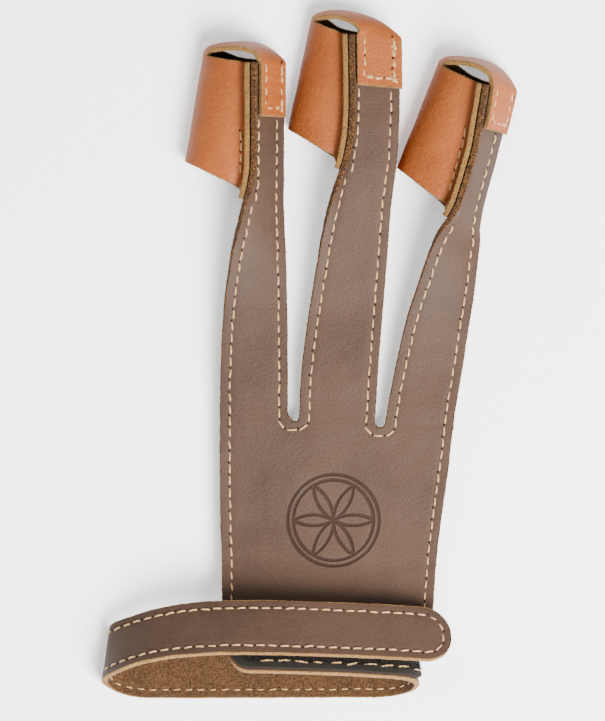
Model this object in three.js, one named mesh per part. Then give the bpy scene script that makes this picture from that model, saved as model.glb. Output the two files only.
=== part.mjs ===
import * as THREE from 'three';
import { mergeVertices } from 'three/addons/utils/BufferGeometryUtils.js';

// A three-finger archery glove lying on a flat surface with the back of the hand up.
// Millimetres. +X points to the ring finger's side, +Y to the fingertips, +Z up from the surface.
// Every piece is a sheet of leather or tape: a middle surface that is given its thickness.

// Sheet thicknesses and the clearance between sheets that lie on each other.
const PANEL_LEATHER = 1.8;
const STRAP_LEATHER = 1.8;
const STALL_LEATHER = 1.5;
const TAPE_THICKNESS = 1.0;
const CLEARANCE = 0.4;

// Hand panel. The strips begin at the root line, where the two slots between them end.
const PANEL_LEFT = -26.7;
const ROOT_LINE = -20.7;
const ROOT_HEIGHT = 6.0;
const BODY_LENGTH = 69.75;
const SEAM_MARGIN = 2.95;
const STRIP_BOW = 0.5;

// Finger stalls.
const STALL_HEIGHT = 16;
const MOUTH_STEP = 2.7;
const MOUTH_STEP_WIDTH = 1.6;
const TIP_TONGUE = 2.8;
const TAB_BELLY = 0.6;
const LAP_WIDTH = 5;
const LAP_INSET = 1.4;

// Wrist strap.
const STRAP_WIDTH = 17.2;
const STRAP_CORNER = 8.2;
const INNER_CORNER = 6.6;
const LOOP_CENTRE_X = -14.1;
const LOOP_CENTRE_Y = -94.15;
const LOOP_HALF_WIDTH = 47.5;
const LOOP_RISE = 19.6;
const TAPE_INSET = 0.7;
const TAPE_CORNER = 6;
const HOOK_LENGTH = 58;
const HOOK_START = 0.8;
const LOOP_PATCH_LENGTH = 42;
const LOOP_PATCH_START = 6;

// One row per place along a finger strip. along: share of the reach. seam: place of the left
// seam line, share of the root width from the root's middle. width: from the seam line to the
// right edge, share of the root width. rise: height of the seam line, share of STALL_HEIGHT.
// turn: slope of the face down to the right. curl: how far the left margin is turned up.
// lean: turn of the row in plan. Angles in degrees.
// Rows that lie further apart than ROW_GAP get one more between them.
const ROW_GAP = 0.07;
const STRIPS = {
  index: {
    root: 22.35,
    reach: 107.55,
    leftFoot: 0.15,
    rightFoot: 1.05,
    rows: [
      { along: 0.006, seam: -0.367, width: 0.832, rise: 0.375, turn: 0, curl: 0, lean: -2 },
      { along: 0.012, seam: -0.367, width: 0.803, rise: 0.375, turn: 0, curl: 0, lean: -2 },
      { along: 0.020, seam: -0.367, width: 0.780, rise: 0.375, turn: 0, curl: 0, lean: -1 },
      { along: 0.119, seam: -0.363, width: 0.776, rise: 0.400, turn: 1, curl: 0, lean: 0 },
      { along: 0.286, seam: -0.328, width: 0.733, rise: 0.470, turn: 4, curl: 4, lean: 0 },
      { along: 0.439, seam: -0.245, width: 0.628, rise: 0.640, turn: 16, curl: 16, lean: 0 },
      { along: 0.579, seam: -0.115, width: 0.458, rise: 0.850, turn: 40, curl: 40, lean: 1 },
      { along: 0.621, seam: -0.079, width: 0.411, rise: 0.910, turn: 46, curl: 56, lean: 1 },
      { along: 0.654, seam: -0.060, width: 0.395, rise: 0.960, turn: 50, curl: 76, lean: 1 },
      { along: 0.718, seam: -0.044, width: 0.378, rise: 0.975, turn: 52, curl: 90, lean: 1 },
      { along: 0.849, seam: -0.041, width: 0.376, rise: 0.960, turn: 53, curl: 90, lean: 1 },
      { along: 1.000, seam: -0.041, width: 0.380, rise: 0.910, turn: 52, curl: 90, lean: 1 },
    ],
  },
  middle: {
    root: 25.65,
    reach: 116.4,
    leftFoot: 1.05,
    rightFoot: -0.75,
    rows: [
      { along: 0.006, seam: -0.354, width: 0.830, rise: 0.375, turn: 0, curl: 0, lean: 4 },
      { along: 0.012, seam: -0.339, width: 0.783, rise: 0.375, turn: 0, curl: 0, lean: 4 },
      { along: 0.021, seam: -0.332, width: 0.772, rise: 0.375, turn: 0, curl: 0, lean: 4 },
      { along: 0.113, seam: -0.313, width: 0.782, rise: 0.400, turn: 0, curl: 0, lean: 3 },
      { along: 0.268, seam: -0.230, width: 0.751, rise: 0.440, turn: 0, curl: 4, lean: 3 },
      { along: 0.410, seam: -0.124, width: 0.697, rise: 0.570, turn: 1, curl: 8, lean: 3 },
      { along: 0.487, seam: -0.069, width: 0.666, rise: 0.665, turn: 2, curl: 14, lean: 4 },
      { along: 0.580, seam: 0.025, width: 0.608, rise: 0.770, turn: 3, curl: 34, lean: 5 },
      { along: 0.642, seam: 0.088, width: 0.582, rise: 0.820, turn: 4, curl: 62, lean: 5 },
      { along: 0.680, seam: 0.118, width: 0.573, rise: 0.840, turn: 5, curl: 84, lean: 5 },
      { along: 0.763, seam: 0.167, width: 0.549, rise: 0.835, turn: 5, curl: 90, lean: 5 },
      { along: 0.830, seam: 0.178, width: 0.549, rise: 0.810, turn: 6, curl: 90, lean: 5 },
      { along: 1.000, seam: 0.167, width: 0.556, rise: 0.730, turn: 7, curl: 90, lean: 6 },
    ],
  },
  ring: {
    root: 21.75,
    reach: 102.75,
    leftFoot: -0.75,
    rightFoot: -1.65,
    rows: [
      { along: 0.007, seam: -0.317, width: 0.830, rise: 0.375, turn: 0, curl: 0, lean: 2 },
      { along: 0.014, seam: -0.295, width: 0.812, rise: 0.375, turn: 0, curl: 0, lean: 3 },
      { along: 0.025, seam: -0.289, width: 0.806, rise: 0.380, turn: 0, curl: 0, lean: 3 },
      { along: 0.142, seam: -0.190, width: 0.791, rise: 0.410, turn: 2, curl: 0, lean: 4 },
      { along: 0.317, seam: -0.003, width: 0.728, rise: 0.520, turn: 8, curl: 5, lean: 6 },
      { along: 0.448, seam: 0.200, width: 0.611, rise: 0.700, turn: 22, curl: 8, lean: 8 },
      { along: 0.518, seam: 0.313, width: 0.529, rise: 0.815, turn: 34, curl: 16, lean: 10 },
      { along: 0.565, seam: 0.405, width: 0.460, rise: 0.895, turn: 45, curl: 32, lean: 11 },
      { along: 0.606, seam: 0.505, width: 0.355, rise: 0.970, turn: 54, curl: 60, lean: 13 },
      { along: 0.664, seam: 0.597, width: 0.312, rise: 1.020, turn: 58, curl: 86, lean: 13 },
      { along: 0.740, seam: 0.700, width: 0.302, rise: 1.015, turn: 59, curl: 90, lean: 13 },
      { along: 0.816, seam: 0.799, width: 0.302, rise: 1.005, turn: 60, curl: 90, lean: 13 },
      { along: 0.909, seam: 0.877, width: 0.340, rise: 0.990, turn: 58, curl: 90, lean: 13 },
      { along: 1.000, seam: 0.948, width: 0.372, rise: 0.940, turn: 54, curl: 90, lean: 13 },
    ],
  },
};

// The body of the panel below the strips. down: share of BODY_LENGTH. left, right: how far the
// edge stands in from its place at the root line, share of BODY_LENGTH. rise: share of LOOP_RISE.
// fall: how much lower the right edge lies, share of LOOP_RISE.
const BODY = [
  { down: 0.00, left: 0.000, right: 0.000, rise: 0.306, fall: 0.00 },
  { down: 0.20, left: 0.000, right: 0.022, rise: 0.284, fall: 0.00 },
  { down: 0.40, left: 0.002, right: 0.050, rise: 0.276, fall: 0.01 },
  { down: 0.58, left: 0.008, right: 0.070, rise: 0.312, fall: 0.03 },
  { down: 0.71, left: 0.009, right: 0.080, rise: 0.410, fall: 0.08 },
  { down: 0.79, left: 0.012, right: 0.086, rise: 0.515, fall: 0.13 },
  { down: 0.82, left: 0.016, right: 0.100, rise: 0.560, fall: 0.15 },
];

// Where the body has its rows of points, from the strap up to the root line.
const BODY_STOPS = [0.82, 0.79, 0.75, 0.71, 0.645, 0.58, 0.49, 0.4, 0.3, 0.2, 0.1];

// The panel's end under the strap's inner end: places across the strap, share of STRAP_WIDTH from
// its middle line to the wrist, and how far along the strap it begins and ends.
const TAIL_SHARES = [-0.5, -0.34, -0.1, 0.17];
const TAIL_START = 1.5;
const TAIL_END = 44;

// The stalls. mouth: where the fin seam begins, share of the strip's reach. mouthReach and
// tipReach: how far the leather bulges to the left of the strip's seam line. mouthSkew and
// tipSkew: how far the rims are drawn to the fingertip at the left. tab: how far the tab stands
// past the strip's end. patch: the sewn patch's length. overhang: how far it stands out past the
// strip's right edge.
const STALLS = {
  index: {
    mouth: 0.622, mouthReach: 20.0, tipReach: 15.0, mouthSkew: 8.3, tipSkew: 2.0,
    tab: 5.9, patch: 16.0, overhang: 0.6,
  },
  middle: {
    mouth: 0.654, mouthReach: 18.2, tipReach: 12.2, mouthSkew: 8.1, tipSkew: 3.0,
    tab: 6.6, patch: 14.9, overhang: 0.8,
  },
  ring: {
    mouth: 0.612, mouthReach: 20.1, tipReach: 14.9, mouthSkew: 8.4, tipSkew: 2.8,
    tab: 6.8, patch: 12.8, overhang: 1.2,
  },
};

// The stall's section, from the foot of the fin round the left side, along the underside and up
// the right side. out: distance from the fin or the right corner. down: depth under the seam line.
// across: share of the reach to the left. rise: share of the height of the seam line or of the
// lap's corner. width: share of the way to the right corner. tongue: share of TIP_TONGUE.
const FIN_FOOT = [
  { out: 0.35, down: 0.25 },
  { out: 1.60, down: 0.95 },
];
const WRAP = [
  { across: 0.34, rise: 0.925, tongue: 0.00 },
  { across: 0.54, rise: 0.875, tongue: 0.00 },
  { across: 0.74, rise: 0.750, tongue: 0.00 },
  { across: 0.90, rise: 0.560, tongue: 0.12 },
  { across: 0.97, rise: 0.330, tongue: 0.35 },
  { across: 0.91, rise: 0.130, tongue: 0.70 },
  { across: 0.76, rise: 0.000, tongue: 1.00 },
  { across: 0.30, rise: 0.000, tongue: 0.60 },
];
const UNDERSIDE = [
  { width: 0.30, tongue: 0.45 },
  { width: 0.66, tongue: 0.30 },
];
const SIDE = [
  { out: -0.5, rise: 0.05 },
  { out: 0.3, rise: 0.50 },
  { out: 0.0, rise: 1.00 },
];

// The tab that bridges the fingertip, from the stall's left side over to the strip's end.
// innerAcross, outerAcross: place of its two edges, share of the tip's reach on the left and of
// the strip's width on the right. innerReach, outerReach: share of the tab's stand past the
// strip's end. innerRise, outerRise: share of the climb from the rim to the patch.
const TAB = [
  { innerAcross: -0.88, innerReach: 0.52, innerRise: 0.14, outerAcross: -0.70, outerReach: 0.72, outerRise: 0.01 },
  { innerAcross: -0.76, innerReach: 0.62, innerRise: 0.36, outerAcross: -0.58, outerReach: 0.85, outerRise: 0.06 },
  { innerAcross: -0.58, innerReach: 0.68, innerRise: 0.58, outerAcross: -0.42, outerReach: 0.94, outerRise: 0.15 },
  { innerAcross: -0.38, innerReach: 0.70, innerRise: 0.78, outerAcross: -0.22, outerReach: 1.00, outerRise: 0.29 },
  { innerAcross: -0.18, innerReach: 0.64, innerRise: 0.92, outerAcross: 0.02, outerReach: 0.96, outerRise: 0.46 },
  { innerAcross: 0.02, innerReach: 0.46, innerRise: 1.00, outerAcross: 0.34, outerReach: 0.82, outerRise: 0.66 },
  { innerAcross: 0.12, innerReach: 0.22, innerRise: 1.01, outerAcross: 0.70, outerReach: 0.48, outerRise: 0.87 },
];

// The strap's middle line from its inner end, round the wrist, to the free tip.
// across: share of LOOP_HALF_WIDTH. rise: share of LOOP_RISE. slide: towards the fingers, share of
// STRAP_WIDTH. tilt: how far the wrist-side edge is turned out of the loop, in degrees.
const LOOP = [
  { across: -0.205, rise: 0.915, slide: 0.430, tilt: 26 },
  { across: 0.000, rise: 0.930, slide: 0.435, tilt: 26 },
  { across: 0.240, rise: 0.918, slide: 0.420, tilt: 26 },
  { across: 0.524, rise: 0.872, slide: 0.386, tilt: 26 },
  { across: 0.725, rise: 0.806, slide: 0.350, tilt: 26 },
  { across: 0.830, rise: 0.735, slide: 0.325, tilt: 25 },
  { across: 0.900, rise: 0.610, slide: 0.280, tilt: 22 },
  { across: 0.932, rise: 0.440, slide: 0.215, tilt: 15 },
  { across: 0.917, rise: 0.255, slide: 0.115, tilt: 9 },
  { across: 0.850, rise: 0.110, slide: 0.045, tilt: 4 },
  { across: 0.750, rise: 0.040, slide: 0.012, tilt: 0 },
  { across: 0.620, rise: 0.040, slide: 0.010, tilt: 0 },
  { across: 0.000, rise: 0.040, slide: 0.000, tilt: 0 },
  { across: -0.600, rise: 0.040, slide: 0.000, tilt: 0 },
  { across: -0.780, rise: 0.040, slide: 0.010, tilt: 0 },
  { across: -0.897, rise: 0.075, slide: 0.080, tilt: 0 },
  { across: -0.958, rise: 0.170, slide: 0.200, tilt: 5 },
  { across: -0.962, rise: 0.325, slide: 0.310, tilt: 10 },
  { across: -0.908, rise: 0.500, slide: 0.400, tilt: 17 },
  { across: -0.833, rise: 0.645, slide: 0.485, tilt: 23 },
  { across: -0.707, rise: 0.805, slide: 0.600, tilt: 26 },
  { across: -0.518, rise: 0.945, slide: 0.700, tilt: 26 },
  { across: -0.297, rise: 1.030, slide: 0.752, tilt: 25 },
  { across: -0.044, rise: 1.072, slide: 0.762, tilt: 24 },
  { across: 0.240, rise: 1.070, slide: 0.745, tilt: 24 },
  { across: 0.524, rise: 1.030, slide: 0.718, tilt: 24 },
  { across: 0.808, rise: 0.950, slide: 0.680, tilt: 24 },
  { across: 1.028, rise: 0.870, slide: 0.640, tilt: 24 },
  { across: 1.188, rise: 0.800, slide: 0.600, tilt: 24 },
];

const UP = new THREE.Vector3(0, 0, 1);
const degrees = THREE.MathUtils.degToRad;
const mix = THREE.MathUtils.lerp;

// A table's column between its rows, at any place in its first column, with no overshoot.
function follow(rows, key, column, at) {
  let i = 0;
  while (i < rows.length - 2 && at > rows[i + 1][key]) i += 1;
  const slope = (k) => (rows[k + 1][column] - rows[k][column]) / (rows[k + 1][key] - rows[k][key]);
  const lean = (k) => {
    if (k === 0) return slope(0);
    if (k === rows.length - 1) return slope(k - 1);
    const [a, b] = [slope(k - 1), slope(k)];
    return a * b <= 0 ? 0 : (2 * a * b) / (a + b);
  };
  const span = rows[i + 1][key] - rows[i][key];
  const t = THREE.MathUtils.clamp((at - rows[i][key]) / span, 0, 1);
  const [t2, t3] = [t * t, t * t * t];
  return (2 * t3 - 3 * t2 + 1) * rows[i][column] + (t3 - 2 * t2 + t) * span * lean(i)
    + (3 * t2 - 2 * t3) * rows[i + 1][column] + (t3 - t2) * span * lean(i + 1);
}

// The grid of triangles over rows of points.
function weave(rows) {
  const triangles = [];
  for (let j = 0; j + 1 < rows.length; j += 1) {
    for (let i = 0; i + 1 < rows[j].length; i += 1) {
      const [a, b, c, d] = [rows[j][i], rows[j][i + 1], rows[j + 1][i + 1], rows[j + 1][i]];
      triangles.push([a, b, c], [a, c, d]);
    }
  }
  return triangles;
}

// A closed sheet of the given thickness on both sides of a middle surface of triangles.
function thicken(triangles, thickness) {
  const flat = new THREE.BufferGeometry().setFromPoints(triangles.flat());
  const merged = mergeVertices(flat, 1e-4);
  const corners = Array.from(merged.index.array);
  const kept = [];
  for (let k = 0; k < corners.length; k += 3) {
    const [a, b, c] = corners.slice(k, k + 3);
    if (a !== b && b !== c && c !== a) kept.push(a, b, c);
  }
  merged.setIndex(kept);
  merged.computeVertexNormals();
  const { position, normal } = merged.attributes;
  const count = position.count;
  const points = [];
  for (const side of [0.5, -0.5]) {
    for (let i = 0; i < count; i += 1) {
      const point = new THREE.Vector3().fromBufferAttribute(position, i);
      const out = new THREE.Vector3().fromBufferAttribute(normal, i);
      points.push(point.addScaledVector(out, side * thickness));
    }
  }
  const edges = new Map();
  const faces = [];
  for (let k = 0; k < kept.length; k += 3) {
    const [a, b, c] = kept.slice(k, k + 3);
    faces.push(a, b, c, c + count, b + count, a + count);
    for (const [p, q] of [[a, b], [b, c], [c, a]]) {
      if (edges.has(`${q} ${p}`)) edges.delete(`${q} ${p}`);
      else edges.set(`${p} ${q}`, [p, q]);
    }
  }
  for (const [p, q] of edges.values()) {
    faces.push(q, p, p + count, q, p + count, q + count);
  }
  const sheet = new THREE.BufferGeometry().setFromPoints(points);
  sheet.setIndex(faces);
  return sheet;
}

// The frame of one row of a finger strip.
function stripFrame(strip, along) {
  const at = (column) => follow(strip.rows, 'along', column, along);
  const lean = degrees(at('lean'));
  const foot = (strip.leftFoot + strip.rightFoot) / 2;
  return {
    seam: new THREE.Vector3(
      strip.middle + at('seam') * strip.root,
      ROOT_LINE + foot + along * strip.reach,
      at('rise') * STALL_HEIGHT,
    ),
    right: new THREE.Vector3(Math.cos(lean), -Math.sin(lean), 0),
    ahead: new THREE.Vector3(Math.sin(lean), Math.cos(lean), 0),
    width: at('width') * strip.root,
    turn: degrees(at('turn')),
    curl: degrees(at('curl')),
  };
}

// A point on the strip's face, offset from the seam line in plan and lifted off the face.
function facePoint(frame, offset, lift) {
  const share = offset / frame.width;
  const bow = STRIP_BOW * 4 * share * (1 - share) * Math.sin(frame.turn);
  return frame.seam.clone()
    .addScaledVector(frame.right, offset + lift * Math.sin(frame.turn))
    .addScaledVector(UP, bow - offset * Math.tan(frame.turn) + lift * Math.cos(frame.turn));
}

// A point of the left margin, out from the seam line by a share of the margin.
function marginPoint(frame, share) {
  return frame.seam.clone()
    .addScaledVector(frame.right, -share * SEAM_MARGIN * Math.cos(frame.curl))
    .addScaledVector(UP, share * SEAM_MARGIN * Math.sin(frame.curl));
}

const MARGIN_SHARES = [1, 0.5];
const FACE_SHARES = [0, 0.2, 0.4, 0.6, 0.8, 1];

function stripRow(strip, along) {
  const frame = stripFrame(strip, along);
  return [
    ...MARGIN_SHARES.map((share) => marginPoint(frame, share)),
    ...FACE_SHARES.map((share) => facePoint(frame, share * frame.width, 0)),
  ];
}

// The row where the strip leaves the body, straight between the ends of its slots.
function rootRow(strip) {
  const left = new THREE.Vector3(strip.left, ROOT_LINE + strip.leftFoot, ROOT_HEIGHT);
  const right = new THREE.Vector3(strip.left + strip.root, ROOT_LINE + strip.rightFoot, ROOT_HEIGHT);
  const margin = SEAM_MARGIN / strip.root;
  return [
    ...MARGIN_SHARES.map((share) => (1 - share) * margin),
    ...FACE_SHARES.map((share) => mix(margin, 1, share)),
  ].map((share) => left.clone().lerp(right, share));
}

function placeStrips() {
  let left = PANEL_LEFT;
  for (const strip of Object.values(STRIPS)) {
    strip.left = left;
    strip.middle = left + strip.root / 2;
    left += strip.root;
  }
}

function handPanel() {
  const strips = Object.values(STRIPS);
  const triangles = [];
  for (const strip of strips) {
    const stops = [];
    strip.rows.forEach((row, i) => {
      stops.push(row.along);
      const next = strip.rows[i + 1];
      if (next && next.along - row.along > ROW_GAP) stops.push((row.along + next.along) / 2);
    });
    const rows = [rootRow(strip), ...stops.map((along) => stripRow(strip, along))];
    triangles.push(...weave(rows));
  }
  const top = [];
  for (const strip of strips) top.push(...rootRow(strip).slice(top.length ? 1 : 0));
  const first = top[0].x;
  const span = top[top.length - 1].x - first;
  const bottom = ROOT_LINE - BODY_LENGTH;
  const tail = TAIL_SHARES.map((share) => top.map((point) => {
    const frame = strapAt(strapFrames(4), mix(TAIL_START, TAIL_END, (point.x - first) / span));
    return frame.point
      .addScaledVector(frame.across, share * STRAP_WIDTH)
      .addScaledVector(frame.normal, -(STRAP_LEATHER + PANEL_LEATHER) / 2 - CLEARANCE);
  })).reverse();
  const body = BODY_STOPS.map((down) => {
    const at = (column) => follow(BODY, 'down', column, down);
    const left = first + at('left') * BODY_LENGTH;
    const right = first + span - at('right') * BODY_LENGTH;
    return top.map((point) => new THREE.Vector3(
      mix(left, right, (point.x - first) / span),
      mix(point.y, bottom, down),
      at('rise') * LOOP_RISE + (ROOT_HEIGHT - BODY[0].rise * LOOP_RISE) * (1 - down)
        - at('fall') * LOOP_RISE * ((point.x - first) / span) ** 2,
    ));
  });
  triangles.push(...weave([...tail, ...body, top]));
  return thicken(triangles, PANEL_LEATHER);
}

// A smooth line through points, with the same number of steps between each two of them.
function smoothLine(points, steps, floor) {
  const curve = new THREE.CatmullRomCurve3(points, false, 'centripetal');
  const line = curve.getPoints((points.length - 1) * steps);
  return line.map((point) => point.setZ(Math.max(point.z, floor)));
}

// The distance between the middle surfaces of the stall's leather and the strip's.
const SEAT = (PANEL_LEATHER + STALL_LEATHER) / 2 + CLEARANCE;
const STALL_FLOOR = STALL_LEATHER / 2;

// How far a stall bulges to the left of a row, with its left side straight from mouth to tip.
function stallReach(strip, stall, frame, share) {
  const [mouth, tip] = [stripFrame(strip, stall.mouth), stripFrame(strip, 1)];
  const side = mouth.seam.addScaledVector(mouth.right, -stall.mouthReach)
    .lerp(tip.seam.addScaledVector(tip.right, -stall.tipReach), share);
  return frame.seam.clone().sub(side).dot(frame.right);
}

// One section of a stall, from the top of the fin round the finger to the lap under the strip.
function stallSection(strip, stall, share) {
  const frame = stripFrame(strip, mix(stall.mouth, 1, share));
  const reach = stallReach(strip, stall, frame, share);
  const skew = mix(stall.mouthSkew, stall.tipSkew, share);
  const top = frame.seam.z;
  const place = (across, height, tongue = 0) => {
    const beside = Math.max(0, -across - SEAT);
    const step = MOUTH_STEP * (1 - share) * Math.min(1, beside / MOUTH_STEP_WIDTH);
    const ahead = skew * beside / (reach - SEAT) + step + tongue * TIP_TONGUE * share * share;
    return frame.seam.clone().setZ(Math.max(height, STALL_FLOOR))
      .addScaledVector(frame.right, across)
      .addScaledVector(frame.ahead, ahead);
  };
  const fin = [1, 0.62, 0.24].map((part) => marginPoint(frame, part)
    .addScaledVector(frame.right, -SEAT * Math.sin(frame.curl))
    .addScaledVector(UP, -SEAT * Math.cos(frame.curl)));
  const drop = SEAT * Math.cos(frame.curl);
  const foot = FIN_FOOT.map((row) => place(-SEAT - row.out, top - row.down - drop));
  const round = WRAP.map((row) => place(-row.across * reach, row.rise * top, row.tongue));
  const corner = facePoint(frame, frame.width - LAP_INSET, -SEAT);
  const lap = facePoint(frame, frame.width - LAP_INSET - LAP_WIDTH * Math.cos(frame.turn), -SEAT);
  const out = corner.clone().sub(frame.seam).dot(frame.right);
  const lapOut = lap.clone().sub(frame.seam).dot(frame.right);
  const under = UNDERSIDE.map((row) => place(row.width * out, 0, row.tongue));
  const side = SIDE.map((row) => place(out + row.out, mix(STALL_FLOOR, corner.z, row.rise)));
  const fold = [place((out + lapOut) / 2, (corner.z + lap.z) / 2), place(lapOut, lap.z)];
  return smoothLine([...fin, ...foot, ...round, ...under, ...side, ...fold], SECTION_STEPS, STALL_FLOOR);
}

// The section's steps between two of its points, and the points between which the tab leaves
// the tip's rim: from the left side to the underside.
const SECTION_STEPS = 2;
const TAB_FROM = 8;
const TAB_TO = 11;

function stallGeometry(strip, stall) {
  const shares = [0, 0.16, 0.33, 0.5, 0.67, 0.84, 1];
  const sections = shares.map((share) => stallSection(strip, stall, share));
  const rim = sections[sections.length - 1].slice(TAB_FROM * SECTION_STEPS, TAB_TO * SECTION_STEPS + 1);
  const frame = stripFrame(strip, 1);
  const across = (share) => share * (share < 0 ? stall.tipReach : frame.width + stall.overhang);
  const columns = rim.length - 1;
  const bulge = rim.map((point, i) => point.clone().sub(rim[0].clone().lerp(rim[columns], i / columns)));
  const patchRow = (along) => {
    const row = stripFrame(strip, along);
    const inset = PANEL_LEATHER / 2 + CLEARANCE + STALL_LEATHER / 2 * Math.sin(row.turn);
    const shift = SEAT * Math.sin(row.turn);
    return rim.map((_, i) => {
      const offset = mix(inset, row.width + stall.overhang, i / columns) - shift;
      return facePoint(row, offset, SEAT);
    });
  };
  const first = patchRow(1);
  const bridge = TAB.map((row, k) => {
    const edge = (side, start, end) => frame.seam.clone()
      .setZ(mix(start.z, end.z, row[`${side}Rise`]))
      .addScaledVector(frame.right, across(row[`${side}Across`]))
      .addScaledVector(frame.ahead, row[`${side}Reach`] * stall.tab);
    const inner = edge('inner', rim[0], first[0]);
    const outer = edge('outer', rim[columns], first[columns]);
    const left = (1 - (k + 1) / (TAB.length + 1)) ** 2;
    return rim.map((_, i) => inner.clone().lerp(outer, i / columns)
      .addScaledVector(bulge[i], left)
      .addScaledVector(frame.ahead, TAB_BELLY * Math.sin(Math.PI * i / columns)));
  });
  const patch = [0, 0.33, 0.67, 1].map((share) => patchRow(1 - share * stall.patch / strip.reach));
  const tab = weave([rim, ...bridge, ...patch]);
  return thicken([...weave(sections), ...tab], STALL_LEATHER);
}

// The strap's middle line with the directions across it and out of the loop.
function strapFrames(steps) {
  const line = smoothLine(LOOP.map((row) => new THREE.Vector3(
    LOOP_CENTRE_X + row.across * LOOP_HALF_WIDTH,
    LOOP_CENTRE_Y + row.slide * STRAP_WIDTH,
    row.rise * LOOP_RISE,
  )), steps, STRAP_LEATHER / 2);
  let travelled = 0;
  return line.map((point, i) => {
    const before = line[Math.max(i - 1, 0)];
    const after = line[Math.min(i + 1, line.length - 1)];
    travelled += i > 0 ? point.distanceTo(before) : 0;
    const place = i / steps;
    const low = Math.min(Math.floor(place), LOOP.length - 2);
    const tilt = degrees(mix(LOOP[low].tilt, LOOP[low + 1].tilt, place - low));
    const run = after.clone().sub(before).setY(0).normalize();
    const out = new THREE.Vector3(-run.z, 0, run.x);
    return {
      point,
      travelled,
      across: out.clone().multiplyScalar(Math.sin(tilt)).setY(-Math.cos(tilt)),
      normal: out.clone().multiplyScalar(Math.cos(tilt)).setY(Math.sin(tilt)),
    };
  });
}

// The frame at any distance along the strap.
function strapAt(frames, distance) {
  let i = 0;
  while (i < frames.length - 2 && frames[i + 1].travelled < distance) i += 1;
  const [a, b] = [frames[i], frames[i + 1]];
  const t = (distance - a.travelled) / (b.travelled - a.travelled);
  return {
    point: a.point.clone().lerp(b.point, t),
    across: a.across.clone().lerp(b.across, t).normalize(),
    normal: a.normal.clone().lerp(b.normal, t).normalize(),
  };
}

// Half the width of a band with rounded ends, at a distance from its nearer end.
function roundedHalf(half, corner, distance) {
  const short = Math.max(0, corner - distance);
  return half - corner + Math.sqrt(Math.max(0, corner * corner - short * short));
}

const ACROSS_SHARES = [-1, -0.5, 0, 0.5, 1];

// A band on the strap between two distances, lifted off its middle surface.
function band(frames, stops, halfAt, lift, thickness) {
  const rows = stops.map((distance) => {
    const { point, across, normal } = strapAt(frames, distance);
    const half = halfAt(distance);
    return ACROSS_SHARES.map((share) => point.clone()
      .addScaledVector(across, share * half)
      .addScaledVector(normal, lift));
  });
  return thicken(weave(rows), thickness);
}

// Where the stops lie in a rounded end, as shares of its corner.
const CORNER_SHARES = [0.02, 0.1, 0.25, 0.5, 0.75, 1];

// Stops along a tape from one distance to another: in its rounded ends, and at the strap's own
// stops between them.
function stopsBetween(start, end, stops) {
  const rounds = CORNER_SHARES.map((share) => share * TAPE_CORNER);
  const middle = stops.filter((stop) => stop > start + TAPE_CORNER + CLEARANCE
    && stop < end - TAPE_CORNER - CLEARANCE);
  return [...rounds.map((r) => start + r), ...middle, ...rounds.reverse().map((r) => end - r)];
}

function strapPieces() {
  const frames = strapFrames(4);
  const end = frames[frames.length - 1].travelled;
  const half = STRAP_WIDTH / 2;
  const strapHalf = (distance) => Math.min(
    roundedHalf(half, INNER_CORNER, distance),
    roundedHalf(half, STRAP_CORNER, end - distance),
  );
  const strapStops = frames.filter((frame, i) => i % 2 === 0 && frame.travelled > INNER_CORNER
    && frame.travelled < end - STRAP_CORNER).map((frame) => frame.travelled);
  const innerEnd = CORNER_SHARES.map((share) => share * INNER_CORNER);
  const tip = CORNER_SHARES.map((share) => end - share * STRAP_CORNER).reverse();
  const seat = (STRAP_LEATHER + TAPE_THICKNESS) / 2 + CLEARANCE;
  const tapeHalf = half - TAPE_INSET;
  const hookEnd = HOOK_START + HOOK_LENGTH;
  const hookHalf = (d) => roundedHalf(tapeHalf, TAPE_CORNER, Math.min(d - HOOK_START, hookEnd - d));
  const loopEnd = end - LOOP_PATCH_START;
  const loopStart = loopEnd - LOOP_PATCH_LENGTH;
  const loopHalf = (d) => roundedHalf(tapeHalf, TAPE_CORNER, Math.min(d - loopStart, loopEnd - d));
  return {
    wrist_strap: band(frames, [...innerEnd, ...strapStops, ...tip], strapHalf, 0, STRAP_LEATHER),
    hook_patch: band(frames, stopsBetween(HOOK_START, hookEnd, strapStops), hookHalf, seat, TAPE_THICKNESS),
    loop_patch: band(frames, stopsBetween(loopStart, loopEnd, strapStops), loopHalf, -seat, TAPE_THICKNESS),
  };
}

const BROWN_LEATHER = { color: 0x8f725f, roughness: 0.62, metalness: 0 };
const TAN_LEATHER = { color: 0xc07a4e, roughness: 0.55, metalness: 0 };
const BLACK_TAPE = { color: 0x1e1f24, roughness: 0.9, metalness: 0 };

placeStrips();
const { wrist_strap, hook_patch, loop_patch } = strapPieces();
const pieces = [
  ['hand_panel', handPanel(), BROWN_LEATHER],
  ['wrist_strap', wrist_strap, BROWN_LEATHER],
  ['hook_patch', hook_patch, BLACK_TAPE],
  ['loop_patch', loop_patch, BLACK_TAPE],
  ['index_stall', stallGeometry(STRIPS.index, STALLS.index), TAN_LEATHER],
  ['middle_stall', stallGeometry(STRIPS.middle, STALLS.middle), TAN_LEATHER],
  ['ring_stall', stallGeometry(STRIPS.ring, STALLS.ring), TAN_LEATHER],
];

const glove = new THREE.Group();
for (const [name, geometry, look] of pieces) {
  const mesh = new THREE.Mesh(geometry, new THREE.MeshStandardMaterial(look));
  mesh.name = name;
  glove.add(mesh);
}

// The glove stands on its origin: the middle of its outline, on the surface that it lies on.
const outline = new THREE.Box3().setFromObject(glove);
const middle = outline.getCenter(new THREE.Vector3());
for (const mesh of glove.children) mesh.geometry.translate(-middle.x, -middle.y, -outline.min.z);

export default glove;
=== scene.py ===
"""A leather archery glove with three sewn finger stalls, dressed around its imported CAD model."""
import math

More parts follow.
